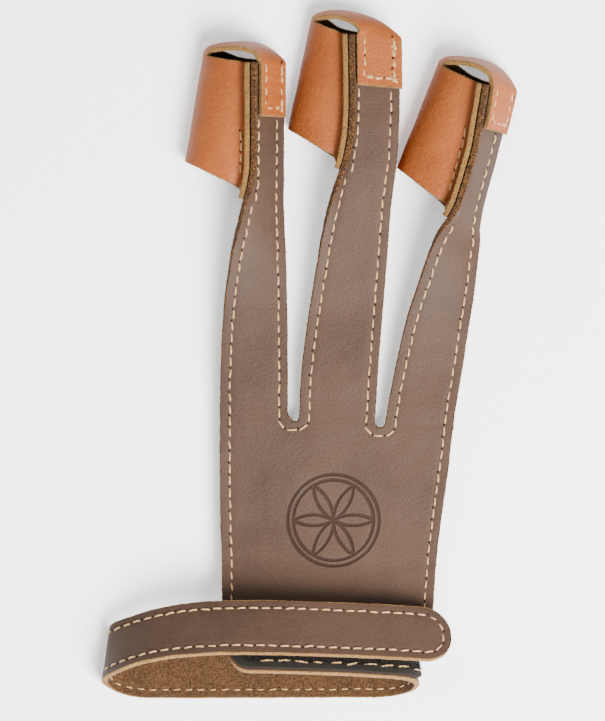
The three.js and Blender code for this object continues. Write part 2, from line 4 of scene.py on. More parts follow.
import bpy
import numpy as np
from bpy.props import FloatProperty, FloatVectorProperty, IntProperty, PointerProperty
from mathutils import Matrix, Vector, kdtree, noise


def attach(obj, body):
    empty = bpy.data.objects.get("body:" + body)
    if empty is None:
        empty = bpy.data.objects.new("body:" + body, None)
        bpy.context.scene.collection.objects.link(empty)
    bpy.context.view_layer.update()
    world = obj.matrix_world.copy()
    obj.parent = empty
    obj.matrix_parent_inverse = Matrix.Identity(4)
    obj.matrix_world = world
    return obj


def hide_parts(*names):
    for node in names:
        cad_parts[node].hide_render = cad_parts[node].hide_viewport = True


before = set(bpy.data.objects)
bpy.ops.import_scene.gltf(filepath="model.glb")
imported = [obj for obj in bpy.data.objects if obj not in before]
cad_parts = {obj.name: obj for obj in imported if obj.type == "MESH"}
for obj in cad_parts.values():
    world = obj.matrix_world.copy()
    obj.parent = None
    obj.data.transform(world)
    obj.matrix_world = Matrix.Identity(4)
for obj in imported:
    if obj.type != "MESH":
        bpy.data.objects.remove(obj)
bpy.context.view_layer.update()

bl_info = {
    "name": "Archery Glove",
    "version": (1, 0, 0),
    "blender": (4, 5, 0),
    "location": "3D View > Sidebar > Glove",
    "description": "Cuts, folds and sews a leather archery glove",
    "category": "Object",
}

MM = 0.001

# All shapes are drawn in millimetres. The shift brings the drawing's origin to the frame's, and the
# view's centre is a place in the drawing.
DRAWING_SHIFT = np.array([-0.1961, -0.3749, 0.0])
VIEW_CENTRE = np.array([-1.95, -1.5])

# The hand panel, as it is cut and folded.
PANEL_LEFT = -26.7
ROOT_LINE = -20.7
ROOT_HEIGHT = 6.0
BODY_LENGTH = 69.75
SEAM_MARGIN = 2.95
STRIP_BOW = 0.5
SLOT_ROUNDING = (0.12, 0.3, 0.55)
PANEL_LEATHER = 1.8
STALL_LEATHER = 1.5
TAPE_THICKNESS = 1.0
CLEARANCE = 0.4

# The stalls.
STALL_HEIGHT = 16.0
MOUTH_STEP = 2.7
MOUTH_STEP_WIDTH = 1.6
TIP_TONGUE = 2.8
TAB_BELLY = 0.6
LAP_WIDTH = 5.0
LAP_INSET = 1.4

# The strap.
STRAP_WIDTH = 17.2
STRAP_CORNER = 8.2
INNER_CORNER = 6.6
LOOP_CENTRE = (-14.1, -94.15)
LOOP_HALF_WIDTH = 47.5
LOOP_RISE = 19.6
TAPE_INSET = 0.7
TAPE_CORNER = 6.0
HOOK_START = 0.8
HOOK_LENGTH = 58.0
LOOP_PATCH_START = 6.0
LOOP_PATCH_LENGTH = 42.0

# The seams: how far in from an edge they lie, how they sink into the leather, and the needle's steps
# where they differ from the common ones.
FACE_INSET = SEAM_MARGIN - 0.25
STRAP_INSET = 2.6
PATCH_INSET = 2.5
TAPE_SEAM_INSET = 2.2
SLOT_SEAM_DROP = 3.2
GROOVE_DEPTH = 0.16
GROOVE_REACH = 0.75
PATCH_PITCH = 3.1
TAPE_PITCH = 5.2
INSIDE_THREAD = 0.75
STRAP_SEAM_START = 2.5
SLOT_SEAM_SHIFT = 0.6
SEWN_TAIL_ROWS = 4
THREAD_LIFT = 0.05
TAPE_SEAM_START = 8
TAPE_SEAM_END = 3
HOOK_MARGINS = {"start": 1.4, "end": 1, "side": 1.6}

# The gaps between a seam and a slot's end, a patch and a stall's mouth, in shares of a strip's reach.
SLOT_GAP = 0.012
PATCH_GAP = 0.004
MOUTH_GAP = 0.01

# How finely the pieces are divided: points across a strip's margin, its face and a band, rows down
# the body, a stall and a patch, rows from one tabled place to the next along the strap and the tab,
# stops round a corner and angles round a cut edge, points along a seam, and millimetres from row to
# row elsewhere.
MARGIN_SHARES = np.linspace(1, 0, 7)[:-1]
FACE_SHARES = np.linspace(0, 1, 27)
BAND_SHARES = np.linspace(-1, 1, 25)
BODY_ROWS = 66
STALL_ROWS = 46
PATCH_ROWS = 18
STRAP_STEPS = 4
TAB_STEPS = 5
CORNER_STOPS = np.linspace(0.04, np.pi / 2, 14)
EDGE_ANGLES = np.radians((30, 60, 90))
SEAM_POINTS = 150
STRAP_SEAM_POINTS = 500
TAPE_SEAM_POINTS = 60
ROW_PITCH = 0.9

# The sides of a piece of leather, which take different materials.
GRAIN, FLESH, EDGE = range(3)

# Uneven leather: size and amount in millimetres, and a seed. Two rounds of it fray the cut edges and
# one swells the grain side.
FRAY = ((0.9, 0.1, 3), (4, 0.1, 11))
SWELL = (6, 0.12, 5)

# Leather surfaces. Grain: pore and relief in millimetres, roughness. Nap: fibre in millimetres, and
# the share of dark pits.
BROWN_GRAIN = (0.6, 0.14, 0.58)
TAN_GRAIN = (0.75, 0.2, 0.5)
FLESH_NAP = (0.55, 0.57)
EDGE_NAP = (0.35, 0.55)
FIN_NAP = (0.5, 0.62)

# Short fibres that stand up: length and width in millimetres, and how many on a square millimetre.
PANEL_FIBRES = (0.5, 0.12, 9)
STALL_FIBRES = (0.4, 0.1, 8)
STRAP_FIBRES = (0.7, 0.12, 2.2)
HOOKS = (0.9, 0.16, 5)

# The lights: place and size in metres, and share of the key's power.
LIGHTS = (("key", (0.62, -0.72, 1.15), 0.9, 1), ("fill", (-0.60, 0.70, 1.20), 0.9, 0.08))


def table(columns, text):
    """A table of numbers with named columns, one row per line of text."""
    rows = [[float(word) for word in line.split()] for line in text.strip().splitlines()]
    return dict(zip(columns.split(), np.array(rows).T))


# The finger strips, from the root to the tip. along: share of the reach. seam, width: shares of the
# root width. rise: share of STALL_HEIGHT. turn, curl, lean: degrees.
STRIP_COLUMNS = "along seam width rise turn curl lean"
STRIPS = {
    "index": {"root": 22.35, "reach": 107.55, "feet": (0.15, 1.05), "rows": table(STRIP_COLUMNS, """
        0.006 -0.367 0.832 0.375  0  0 -2
        0.012 -0.367 0.803 0.375  0  0 -2
        0.020 -0.367 0.780 0.375  0  0 -1
        0.119 -0.363 0.776 0.400  1  0 0
        0.286 -0.328 0.733 0.470  4  4 0
        0.439 -0.245 0.628 0.640 16 16 0
        0.579 -0.115 0.458 0.850 40 40 1
        0.621 -0.079 0.411 0.910 46 56 1
        0.654 -0.060 0.395 0.960 50 76 1
        0.718 -0.044 0.378 0.975 52 90 1
        0.849 -0.041 0.376 0.960 53 90 1
        1.000 -0.041 0.380 0.910 52 90 1""")},
    "middle": {"root": 25.65, "reach": 116.4, "feet": (1.05, -0.75), "rows": table(STRIP_COLUMNS, """
        0.006 -0.354 0.830 0.375  0  0 4
        0.012 -0.339 0.783 0.375  0  0 4
        0.021 -0.332 0.772 0.375  0  0 4
        0.113 -0.313 0.782 0.400  0  0 3
        0.268 -0.230 0.751 0.440  0  4 3
        0.410 -0.124 0.697 0.570  1  8 3
        0.487 -0.069 0.666 0.665  2 14 4
        0.580  0.025 0.608 0.770  3 34 5
        0.642  0.088 0.582 0.820  4 62 5
        0.680  0.118 0.573 0.840  5 84 5
        0.763  0.167 0.549 0.835  5 90 5
        0.830  0.178 0.549 0.810  6 90 5
        1.000  0.167 0.556 0.730  7 90 6""")},
    "ring": {"root": 21.75, "reach": 102.75, "feet": (-0.75, -1.65), "rows": table(STRIP_COLUMNS, """
        0.007 -0.317 0.830 0.375  0  0 2
        0.014 -0.295 0.812 0.375  0  0 3
        0.025 -0.289 0.806 0.380  0  0 3
        0.142 -0.190 0.791 0.410  2  0 4
        0.317 -0.003 0.728 0.520  8  5 6
        0.448  0.200 0.611 0.700 22  8 8
        0.518  0.313 0.529 0.815 34 16 10
        0.565  0.405 0.460 0.895 45 32 11
        0.606  0.505 0.355 0.970 54 60 13
        0.664  0.597 0.312 1.020 58 86 13
        0.740  0.700 0.302 1.015 59 90 13
        0.816  0.799 0.302 1.005 60 90 13
        0.909  0.877 0.340 0.990 58 90 13
        1.000  0.948 0.372 0.940 54 90 13""")},
}

# The panel's body below the strips. down, left, right: shares of BODY_LENGTH. rise, fall: shares
# of LOOP_RISE.
BODY = table("down left right rise fall", """
    0.00 0.000 0.000 0.306 0.00
    0.20 0.000 0.022 0.284 0.00
    0.40 0.002 0.050 0.276 0.01
    0.58 0.008 0.070 0.312 0.03
    0.71 0.009 0.080 0.410 0.08
    0.79 0.012 0.086 0.515 0.13
    0.82 0.016 0.100 0.560 0.15""")

# The panel's end under the strap: places across the strap, and where it begins and ends on it.
TAIL_SHARES = (-0.5, -0.45, -0.4, -0.34, -0.28, -0.22, -0.16, -0.1, -0.03, 0.04, 0.11, 0.17)
TAIL_START = 1.5
TAIL_END = 44.0

# The stalls, in millimetres but for mouth, which is a share of the strip's reach.
STALLS = {
    "index": {"mouth": 0.622, "reach": (20.0, 15.0), "skew": (8.3, 2.0), "tab": 5.9, "patch": 16.0,
              "overhang": 0.6},
    "middle": {"mouth": 0.654, "reach": (18.2, 12.2), "skew": (8.1, 3.0), "tab": 6.6, "patch": 14.9,
               "overhang": 0.8},
    "ring": {"mouth": 0.612, "reach": (20.1, 14.9), "skew": (8.4, 2.8), "tab": 6.8, "patch": 12.8,
             "overhang": 1.2},
}

# Where the patch's seam runs, in shares of its width, how far off its second round lies, and the
# stitches of a knot.
PATCH_SEAMS = (0.17, 0.83)
SECOND_ROUND = np.array([0.3, -0.2, 0])
KNOT = np.array([(0.6, 0.4, 0), (0.5, -0.5, 0), (0.1, 0.7, 0)])

# How far a stitch leans off its seam, as saddle stitches do: the tangent of the angle.
STITCH_SLANT = 0.14

# The flower pressed into the back of the hand: its middle, its radius, its line, and its rings in
# shares of the radius.
ROSETTE_CENTRE = np.array([7.2, -49.2])
ROSETTE_REACH = 12.0
ROSETTE_LINE = 0.7
ROSETTE_RINGS = (1, 1.14)

# Where the fin's seam shows: on the strip's face, millimetres from the fold, or on the stall, from
# one share of its length to another.
FACE_SEAMS = {"index": 1.15, "middle": 1.75}
STALL_SEAMS = {"index": (0.1, 0.45), "ring": (0.1, 0.62)}

# A stall's section. The fin: shares of the margin beside it. Its foot: millimetres out and down. The
# wrap: shares of the reach to the left, of the seam's height and of TIP_TONGUE. The underside: shares
# of the way to the right corner and of TIP_TONGUE. The right side: millimetres out, share of the
# corner's height. The tab rises from the section's points between TAB_FROM and TAB_TO.
FIN_SHARES = (1, 0.62, 0.24)
FIN_FOOT = ((0.35, 0.25), (1.60, 0.95))
WRAP = ((0.34, 0.925, 0.00), (0.54, 0.875, 0.00), (0.74, 0.750, 0.00), (0.90, 0.560, 0.12),
        (0.97, 0.330, 0.35), (0.91, 0.130, 0.70), (0.76, 0.000, 1.00), (0.30, 0.000, 0.60))
UNDERSIDE = ((0.30, 0.45), (0.66, 0.30))
SIDE = ((-0.5, 0.05), (0.3, 0.50), (0.0, 1.00))
SECTION_STEPS = 6
TAB_FROM = 8
TAB_TO = 11

# The tab over the fingertip: its two edges, across, past the strip's end and up.
TAB = table("inner_across inner_reach inner_rise outer_across outer_reach outer_rise", """
    -0.88 0.52 0.14 -0.70 0.72 0.01
    -0.76 0.62 0.36 -0.58 0.85 0.06
    -0.58 0.68 0.58 -0.42 0.94 0.15
    -0.38 0.70 0.78 -0.22 1.00 0.29
    -0.18 0.64 0.92  0.02 0.96 0.46
     0.02 0.46 1.00  0.34 0.82 0.66
     0.12 0.22 1.01  0.70 0.48 0.87""")

# The strap's middle line from its inner end to the free tip. across: share of LOOP_HALF_WIDTH.
# rise: share of LOOP_RISE. slide: share of STRAP_WIDTH. tilt: degrees.
LOOP = table("across rise slide tilt", """
    -0.205 0.915 0.430 26
     0.000 0.930 0.435 26
     0.240 0.918 0.420 26
     0.524 0.872 0.386 26
     0.725 0.806 0.350 26
     0.830 0.735 0.325 25
     0.900 0.610 0.280 22
     0.932 0.440 0.215 15
     0.917 0.255 0.115  9
     0.850 0.110 0.045  4
     0.750 0.040 0.012  0
     0.620 0.040 0.010  0
     0.000 0.040 0.000  0
    -0.600 0.040 0.000  0
    -0.780 0.040 0.010  0
    -0.897 0.075 0.080  0
    -0.958 0.170 0.200  5
    -0.962 0.325 0.310 10
    -0.908 0.500 0.400 17
    -0.833 0.645 0.485 23
    -0.707 0.805 0.600 26
    -0.518 0.945 0.700 26
    -0.297 1.030 0.752 25
    -0.044 1.072 0.762 24
     0.240 1.070 0.745 24
     0.524 1.030 0.718 24
     0.808 0.950 0.680 24
     1.028 0.870 0.640 24
     1.188 0.800 0.600 24""")


def length(name, description, default):
    """A length, given in millimetres."""
    return FloatProperty(name=name, description=description, default=default * MM, unit="LENGTH")


def colour(name, description, default):
    """An sRGB colour, given as hex text."""
    return FloatVectorProperty(
        name=name, description=description, subtype="COLOR_GAMMA", size=3, min=0, max=1,
        default=[int(default[i:i + 2], 16) / 255 for i in (1, 3, 5)])


class GloveSizes(bpy.types.PropertyGroup):
    panel_leather: length("Panel Leather", "Thickness of the brown leather", PANEL_LEATHER)
    stall_leather: length("Stall Leather", "Thickness of the tan leather", STALL_LEATHER)
    tape: length("Tape", "Thickness of the hook and loop tape", TAPE_THICKNESS)
    edge_radius: length("Edge Radius", "Rounding of the leather's cut edges", 0.32)
    stitch_pitch: length("Stitch Pitch", "Distance from one needle hole to the next", 3.6)
    stitch_length: length("Stitch Length", "Length of thread that shows between two holes", 2.45)
    thread: length("Thread", "Diameter of the waxed thread", 0.56)
    seed: IntProperty(name="Seed", description="Seed for the unevenness of hand work", default=7)


class GloveColours(bpy.types.PropertyGroup):
    brown_grain: colour("Brown Grain", "Grain side of the panel and the strap", "#433126")
    brown_dark: colour("Brown Dark", "Darker clouds in the brown grain", "#36271E")
    tan_grain: colour("Tan Grain", "Grain side of the stalls", "#8A4921")
    tan_dark: colour("Tan Dark", "Darker clouds in the tan grain", "#733917")
    flesh_light: colour("Flesh Light", "Raised fibres of the flesh side", "#543921")
    flesh_dark: colour("Flesh Dark", "Pits of the flesh side", "#33210F")
    edge_light: colour("Edge Light", "Pale fibres in the stalls' and the strap's cut edges", "#8F6A38")
    edge_dark: colour("Edge Dark", "Dark fibres in the stalls' and the strap's cut edges", "#4C2F17")
    fin_light: colour("Fin Light", "Pale fibres in the panel's cut edges", "#7A5028")
    fin_dark: colour("Fin Dark", "Dark fibres in the panel's cut edges", "#2A1A0D")
    thread: colour("Thread", "Waxed thread", "#B8905A")
    # Painted shade: this colour goes on flat discs at the needle holes and stands in for the shadow inside
    # each hole.
    hole: colour("Hole", "Inside of the needle holes", "#1E130C")
    pressed: colour("Pressed", "How far the pressed flower darkens the grain", "#A89A90")
    tape: colour("Tape", "Hook and loop tape", "#1B1815")
    floor: colour("Floor", "The surface that the glove lies on", "#FFFFFF")


class GloveStage(bpy.types.PropertyGroup):
    camera_height: length("Camera Height", "Height of the camera over the surface", 3000)
    frame_height: length("Frame Height", "Height of the picture on the surface", 216.3)
    floor_drop: length("Floor Drop", "How far the surface lies under the glove", 0.02)
    key_power: FloatProperty(
        name="Key Power", description="Power of the key light", default=120, unit="POWER")
    sky: FloatProperty(name="Sky", description="Strength of the even light from all around", default=0.3)
    glow: FloatProperty(name="Glow", description="Strength of the surface's own light", default=0.5)


def mix(a, b, share):
    return a + (b - a) * share


def follow(rows, key, column, at):
    """A column between its rows, at any place in the key column, smooth and with no overshoot."""
    keys, values = rows[key], rows[column]
    i = int(np.clip(np.searchsorted(keys, at) - 1, 0, len(keys) - 2))
    slopes = np.diff(values) / np.diff(keys)

    def lean(k):
        if k == 0:
            return slopes[0]
        if k == len(keys) - 1:
            return slopes[-1]
        a, b = slopes[k - 1], slopes[k]
        return 0.0 if a * b <= 0 else 2 * a * b / (a + b)

    span = keys[i + 1] - keys[i]
    t = min(max((at - keys[i]) / span, 0.0), 1.0)
    t2, t3 = t * t, t * t * t
    return ((2 * t3 - 3 * t2 + 1) * values[i] + (t3 - 2 * t2 + t) * span * lean(i)
            + (3 * t2 - 2 * t3) * values[i + 1] + (t3 - t2) * span * lean(i + 1))


def unit(vector):
    """A vector at a length of one."""
    return vector / max(np.linalg.norm(vector), 1e-9)


def units(rows):
    """Vectors, one a row, at a length of one each."""
    return rows / np.maximum(np.linalg.norm(rows, axis=1), 1e-9)[:, None]


def travelled(line):
    """How far along a line each of its points lies."""
    return np.concatenate([[0], np.cumsum(np.linalg.norm(np.diff(line, axis=0), axis=1))])


def smooth_line(points, steps, floor):
    """A smooth line through points, never below the floor, with equal steps between each two."""
    points = np.asarray(points, float)
    padded = np.vstack([2 * points[0] - points[1], points, 2 * points[-1] - points[-2]])
    line = []
    for i in range(len(points) - 1):
        p0, p1, p2, p3 = padded[i:i + 4]
        d0, d1, d2 = (max(np.linalg.norm(b - a) ** 0.5, 1e-6) for a, b in ((p0, p1), (p1, p2), (p2, p3)))
        m1 = ((p1 - p0) / d0 - (p2 - p0) / (d0 + d1) + (p2 - p1) / d1) * d1
        m2 = ((p2 - p1) / d1 - (p3 - p1) / (d1 + d2) + (p3 - p2) / d2) * d1
        last = i == len(points) - 2
        for t in np.arange(steps + last) / steps:
            line.append((2 * t**3 - 3 * t**2 + 1) * p1 + (t**3 - 2 * t**2 + t) * m1
                        + (3 * t**2 - 2 * t**3) * p2 + (t**3 - t**2) * m2)
    line = np.array(line)
    line[:, 2] = np.maximum(line[:, 2], floor)
    return line


def strip_left(name):
    """Where a strip begins on the body: the strips' roots lie side by side."""
    order = list(STRIPS)
    return PANEL_LEFT + sum(STRIPS[other]["root"] for other in order[:order.index(name)])


def strip_frame(name, along):
    """The seam line's place and the directions of a row across a finger strip."""
    strip, left = STRIPS[name], strip_left(name)
    at = {column: follow(strip["rows"], "along", column, along) for column in STRIP_COLUMNS.split()[1:]}
    lean = math.radians(at["lean"])
    seam = np.array([
        left + strip["root"] * (0.5 + at["seam"]),
        ROOT_LINE + sum(strip["feet"]) / 2 + along * strip["reach"],
        at["rise"] * STALL_HEIGHT])
    return {
        "seam": seam, "width": at["width"] * strip["root"],
        "right": np.array([math.cos(lean), -math.sin(lean), 0]),
        "ahead": np.array([math.sin(lean), math.cos(lean), 0]),
        "turn": math.radians(at["turn"]), "curl": math.radians(at["curl"]),
    }


def face_point(row, offset, lift=0.0):
    """A point on a strip's face, offset from the seam line in plan and lifted off the face."""
    share = offset / row["width"]
    bow = STRIP_BOW * 4 * share * (1 - share) * math.sin(row["turn"])
    point = row["seam"] + row["right"] * (offset + lift * math.sin(row["turn"]))
    point[2] += bow - offset * math.tan(row["turn"]) + lift * math.cos(row["turn"])
    return point


def margin_point(row, share):
    """A point of the strip's left margin, out from the seam line by a share of the margin."""
    point = row["seam"] - row["right"] * (share * SEAM_MARGIN * math.cos(row["curl"]))
    point[2] += share * SEAM_MARGIN * math.sin(row["curl"])
    return point


def strip_row(name, along):
    """A row of points across a strip, from its margin's edge over the seam line to its right side."""
    row = strip_frame(name, along)
    return np.array([margin_point(row, share) for share in MARGIN_SHARES]
                    + [face_point(row, share * row["width"]) for share in FACE_SHARES])


def root_row(name):
    """The row where a strip leaves the body, straight between the ends of its slots."""
    strip, left = STRIPS[name], strip_left(name)
    a = np.array([left, ROOT_LINE + strip["feet"][0], ROOT_HEIGHT])
    b = np.array([left + strip["root"], ROOT_LINE + strip["feet"][1], ROOT_HEIGHT])
    margin = SEAM_MARGIN / strip["root"]
    shares = [*(1 - MARGIN_SHARES) * margin, *mix(margin, 1, FACE_SHARES)]
    return np.array([mix(a, b, share) for share in shares])


def strip_rows(name):
    """All rows of a strip, with the slots' ends rounded between the root and the first row."""
    first = STRIPS[name]["rows"]["along"][0]
    root, opening = root_row(name), strip_row(name, first)
    rows = [root]
    for share in SLOT_ROUNDING:
        row = mix(root, opening, share)
        row[:, 0] = mix(root[:, 0], opening[:, 0], math.sqrt(1 - (1 - share) ** 2))
        rows.append(row)
    count = int(STRIPS[name]["reach"] / ROW_PITCH)
    return np.array(rows + [strip_row(name, along) for along in np.linspace(first, 1, count)])


def strap_frames():
    """The strap's middle line with the directions across it and out of the loop."""
    points = np.column_stack([
        LOOP_CENTRE[0] + LOOP["across"] * LOOP_HALF_WIDTH,
        LOOP_CENTRE[1] + LOOP["slide"] * STRAP_WIDTH,
        LOOP["rise"] * LOOP_RISE])
    line = smooth_line(points, STRAP_STEPS, PANEL_LEATHER / 2)
    run = np.empty_like(line)
    run[1:-1] = line[2:] - line[:-2]
    run[0], run[-1] = line[1] - line[0], line[-1] - line[-2]
    run[:, 1] = 0
    run = units(run)
    out = np.column_stack([-run[:, 2], np.zeros(len(run)), run[:, 0]])
    rows = np.arange(len(line)) / STRAP_STEPS
    tilt = np.radians(np.interp(rows, np.arange(len(LOOP["tilt"])), LOOP["tilt"]))
    side = np.array([0, 1, 0])
    across = out * np.sin(tilt)[:, None] - side * np.cos(tilt)[:, None]
    normal = out * np.cos(tilt)[:, None] + side * np.sin(tilt)[:, None]
    return {"point": line, "across": across, "normal": normal, "gone": travelled(line)}


STRAP = strap_frames()
STRAP_END = STRAP["gone"][-1]


def strap_point(distance, offset, lift=0.0):
    """A point on the strap at a distance along it, offset to the wrist and lifted out of the loop."""
    at = [np.array([np.interp(distance, STRAP["gone"], STRAP[key][:, k]) for k in range(3)])
          for key in ("point", "across", "normal")]
    return at[0] + unit(at[1]) * offset + unit(at[2]) * lift


def body_rows():
    """The rows of the panel's body, from its end under the strap up to the root row."""
    names = list(STRIPS)
    top = np.vstack([root_row(name)[1 if i else 0:] for i, name in enumerate(names)])
    first, span = top[0, 0], top[-1, 0] - top[0, 0]
    shares = (top[:, 0] - first) / span
    seat = -PANEL_LEATHER - CLEARANCE
    rows = [np.array([strap_point(mix(TAIL_START, TAIL_END, s), cut * STRAP_WIDTH, seat) for s in shares])
            for cut in reversed(TAIL_SHARES)]
    for down in np.linspace(BODY["down"][-1], 0, BODY_ROWS)[:-1]:
        at = {column: follow(BODY, "down", column, down) for column in ("left", "right", "rise", "fall")}
        x = mix(first + at["left"] * BODY_LENGTH, first + span - at["right"] * BODY_LENGTH, shares)
        y = mix(top[:, 1], ROOT_LINE - BODY_LENGTH, down)
        slack = (ROOT_HEIGHT - BODY["rise"][0] * LOOP_RISE) * (1 - down)
        z = at["rise"] * LOOP_RISE + slack - at["fall"] * LOOP_RISE * shares ** 2
        rows.append(np.column_stack([x, y, z]))
    return np.array(rows + [top])


def stall_reach(name, row, share):
    """How far a stall bulges to the left of a row, with its left side straight from mouth to tip."""
    mouth, tip = strip_frame(name, STALLS[name]["mouth"]), strip_frame(name, 1)
    mouth_reach, tip_reach = STALLS[name]["reach"]
    side = mix(mouth["seam"] - mouth["right"] * mouth_reach, tip["seam"] - tip["right"] * tip_reach, share)
    return np.dot(row["seam"] - side, row["right"])


def stall_section(name, share, seat, floor):
    """One section of a stall, from the top of the fin round the finger to the lap."""
    stall = STALLS[name]
    row = strip_frame(name, mix(stall["mouth"], 1, share))
    reach, skew = stall_reach(name, row, share), mix(*stall["skew"], share)
    top = row["seam"][2]

    def place(across, height, tongue=0.0):
        beside = max(0, -across - seat)
        step = MOUTH_STEP * (1 - share) * min(1, beside / MOUTH_STEP_WIDTH)
        ahead = skew * beside / (reach - seat) + step + tongue * TIP_TONGUE * share * share
        point = row["seam"] + row["right"] * across + row["ahead"] * ahead
        point[2] = max(height, floor)
        return point

    curl_side, curl_drop = seat * math.sin(row["curl"]), seat * math.cos(row["curl"])
    fin = [margin_point(row, part) - row["right"] * curl_side - np.array([0, 0, curl_drop])
           for part in FIN_SHARES]
    foot = [place(-seat - out, top - down - curl_drop) for out, down in FIN_FOOT]
    wrap = [place(-across * reach, rise * top, tongue) for across, rise, tongue in WRAP]
    corner = face_point(row, row["width"] - LAP_INSET, -seat)
    lap = face_point(row, row["width"] - LAP_INSET - LAP_WIDTH * math.cos(row["turn"]), -seat)
    out, lap_out = (np.dot(point - row["seam"], row["right"]) for point in (corner, lap))
    under = [place(width * out, 0, tongue) for width, tongue in UNDERSIDE]
    side = [place(out + beyond, mix(floor, corner[2], rise)) for beyond, rise in SIDE]
    fold = [place((out + lap_out) / 2, (corner[2] + lap[2]) / 2), place(lap_out, lap[2])]
    return smooth_line(fin + foot + wrap + under + side + fold, SECTION_STEPS, floor)


def patch_point(name, along, seat, share):
    """A point of the patch that is sewn on the strip's end, by its share of the way across."""
    row = strip_frame(name, along)
    start = PANEL_LEATHER / 2 + CLEARANCE + STALL_LEATHER / 2 * math.sin(row["turn"])
    end = row["width"] + STALLS[name]["overhang"]
    return face_point(row, mix(start, end, share) - seat * math.sin(row["turn"]), seat)


def stall_grids(name, seat, floor):
    """The stall's wrap, and its tab with the patch that is sewn on the strip's end."""
    stall, strip = STALLS[name], STRIPS[name]
    sections = np.array([stall_section(name, share, seat, floor) for share in np.linspace(0, 1, STALL_ROWS)])
    rim = sections[-1, TAB_FROM * SECTION_STEPS:TAB_TO * SECTION_STEPS + 1]
    row = strip_frame(name, 1)
    shares = np.linspace(0, 1, len(rim))
    bulge = rim - (rim[0] + (rim[-1] - rim[0]) * shares[:, None])

    def patch_row(along):
        return np.array([patch_point(name, along, seat, share) for share in shares])

    first = patch_row(1)

    def edge(side, at, start, end):
        across = at[f"{side}_across"]
        across *= stall["reach"][1] if across < 0 else row["width"] + stall["overhang"]
        point = row["seam"] + row["right"] * across + row["ahead"] * at[f"{side}_reach"] * stall["tab"]
        point[2] = mix(start[2], end[2], at[f"{side}_rise"])
        return point

    bridge = []
    count = len(TAB["inner_across"])
    for k in range(count):
        at = {column: values[k] for column, values in TAB.items()}
        inner, outer = edge("inner", at, rim[0], first[0]), edge("outer", at, rim[-1], first[-1])
        belly = row["ahead"] * TAB_BELLY * np.sin(np.pi * shares)[:, None]
        left = (1 - (k + 1) / (count + 1)) ** 2
        bridge.append(inner + (outer - inner) * shares[:, None] + bulge * left + belly)
    patch = [patch_row(1 - share * stall["patch"] / strip["reach"])
             for share in np.linspace(0, 1, PATCH_ROWS)]
    ends = np.array([rim, *bridge, patch[0], patch[1]])
    smooth = np.array([smooth_line(ends[:, i], TAB_STEPS, floor) for i in range(len(rim))])
    return [sections[:, ::-1], np.vstack([smooth.swapaxes(0, 1)[:-TAB_STEPS], patch])[:, ::-1]]


def band_grid(start, end, corners, half, lift):
    """A band on the strap, with a corner radius for each of its two ends."""
    bends = 1 - np.cos(CORNER_STOPS)
    first, last = start + corners[0] * bends, end - corners[1] * bends[::-1]
    middle = np.linspace(first[-1], last[0], int((last[0] - first[-1]) / ROW_PITCH))[1:-1]
    rows = []
    for stop in (*first, *middle, *last):
        insets = [corner - math.sqrt(max(0, corner ** 2 - max(0, corner - near) ** 2))
                  for corner, near in zip(corners, (stop - start, end - stop))]
        width = half - max(insets)
        rows.append([strap_point(stop, share * width, lift) for share in BAND_SHARES])
    return np.array(rows)


def weld(grids):
    """The points and quads of grids that share their edges."""
    points, quads, places = [], [], {}
    for grid in grids:
        number = np.empty(grid.shape[:2], int)
        for j, i in np.ndindex(number.shape):
            key = tuple(np.round(grid[j, i], 3))
            if key not in places:
                places[key] = len(points)
                points.append(grid[j, i])
            number[j, i] = places[key]
        a, b, c, d = number[:-1, :-1], number[:-1, 1:], number[1:, 1:], number[1:, :-1]
        quads.extend(np.stack([a, b, c, d], -1).reshape(-1, 4).tolist())
    return np.array(points), quads


def normals_of(points, quads):
    """A unit normal for each point, from the quads around it."""
    corners = points[np.array(quads)]
    faces = np.cross(corners[:, 2] - corners[:, 0], corners[:, 3] - corners[:, 1])
    normals = np.zeros_like(points)
    for k in range(4):
        np.add.at(normals, np.array(quads)[:, k], faces)
    return units(normals)


def finder(points):
    """A tree that finds the nearest of the points."""
    tree = kdtree.KDTree(len(points))
    for i, point in enumerate(points):
        tree.insert(Vector(point), i)
    tree.balance()
    return tree


def nearness(points, targets, reach):
    """How near each point lies to the nearest target: 1 on it, falling off over the reach."""
    tree = finder(targets)
    distances = np.array([tree.find(Vector(point))[2] for point in points])
    return np.exp(-(distances / reach) ** 2)


def unevenness(points, size, amount, seed):
    """Smooth noise at each point, of a size and an amount in millimetres."""
    return np.array([amount * noise.noise(Vector(point) / size + Vector((seed, 0, 0))) for point in points])


def link_object(name, data):
    """A new object of the scene."""
    item = bpy.data.objects.new(name, data)
    bpy.context.scene.collection.objects.link(item)
    return item


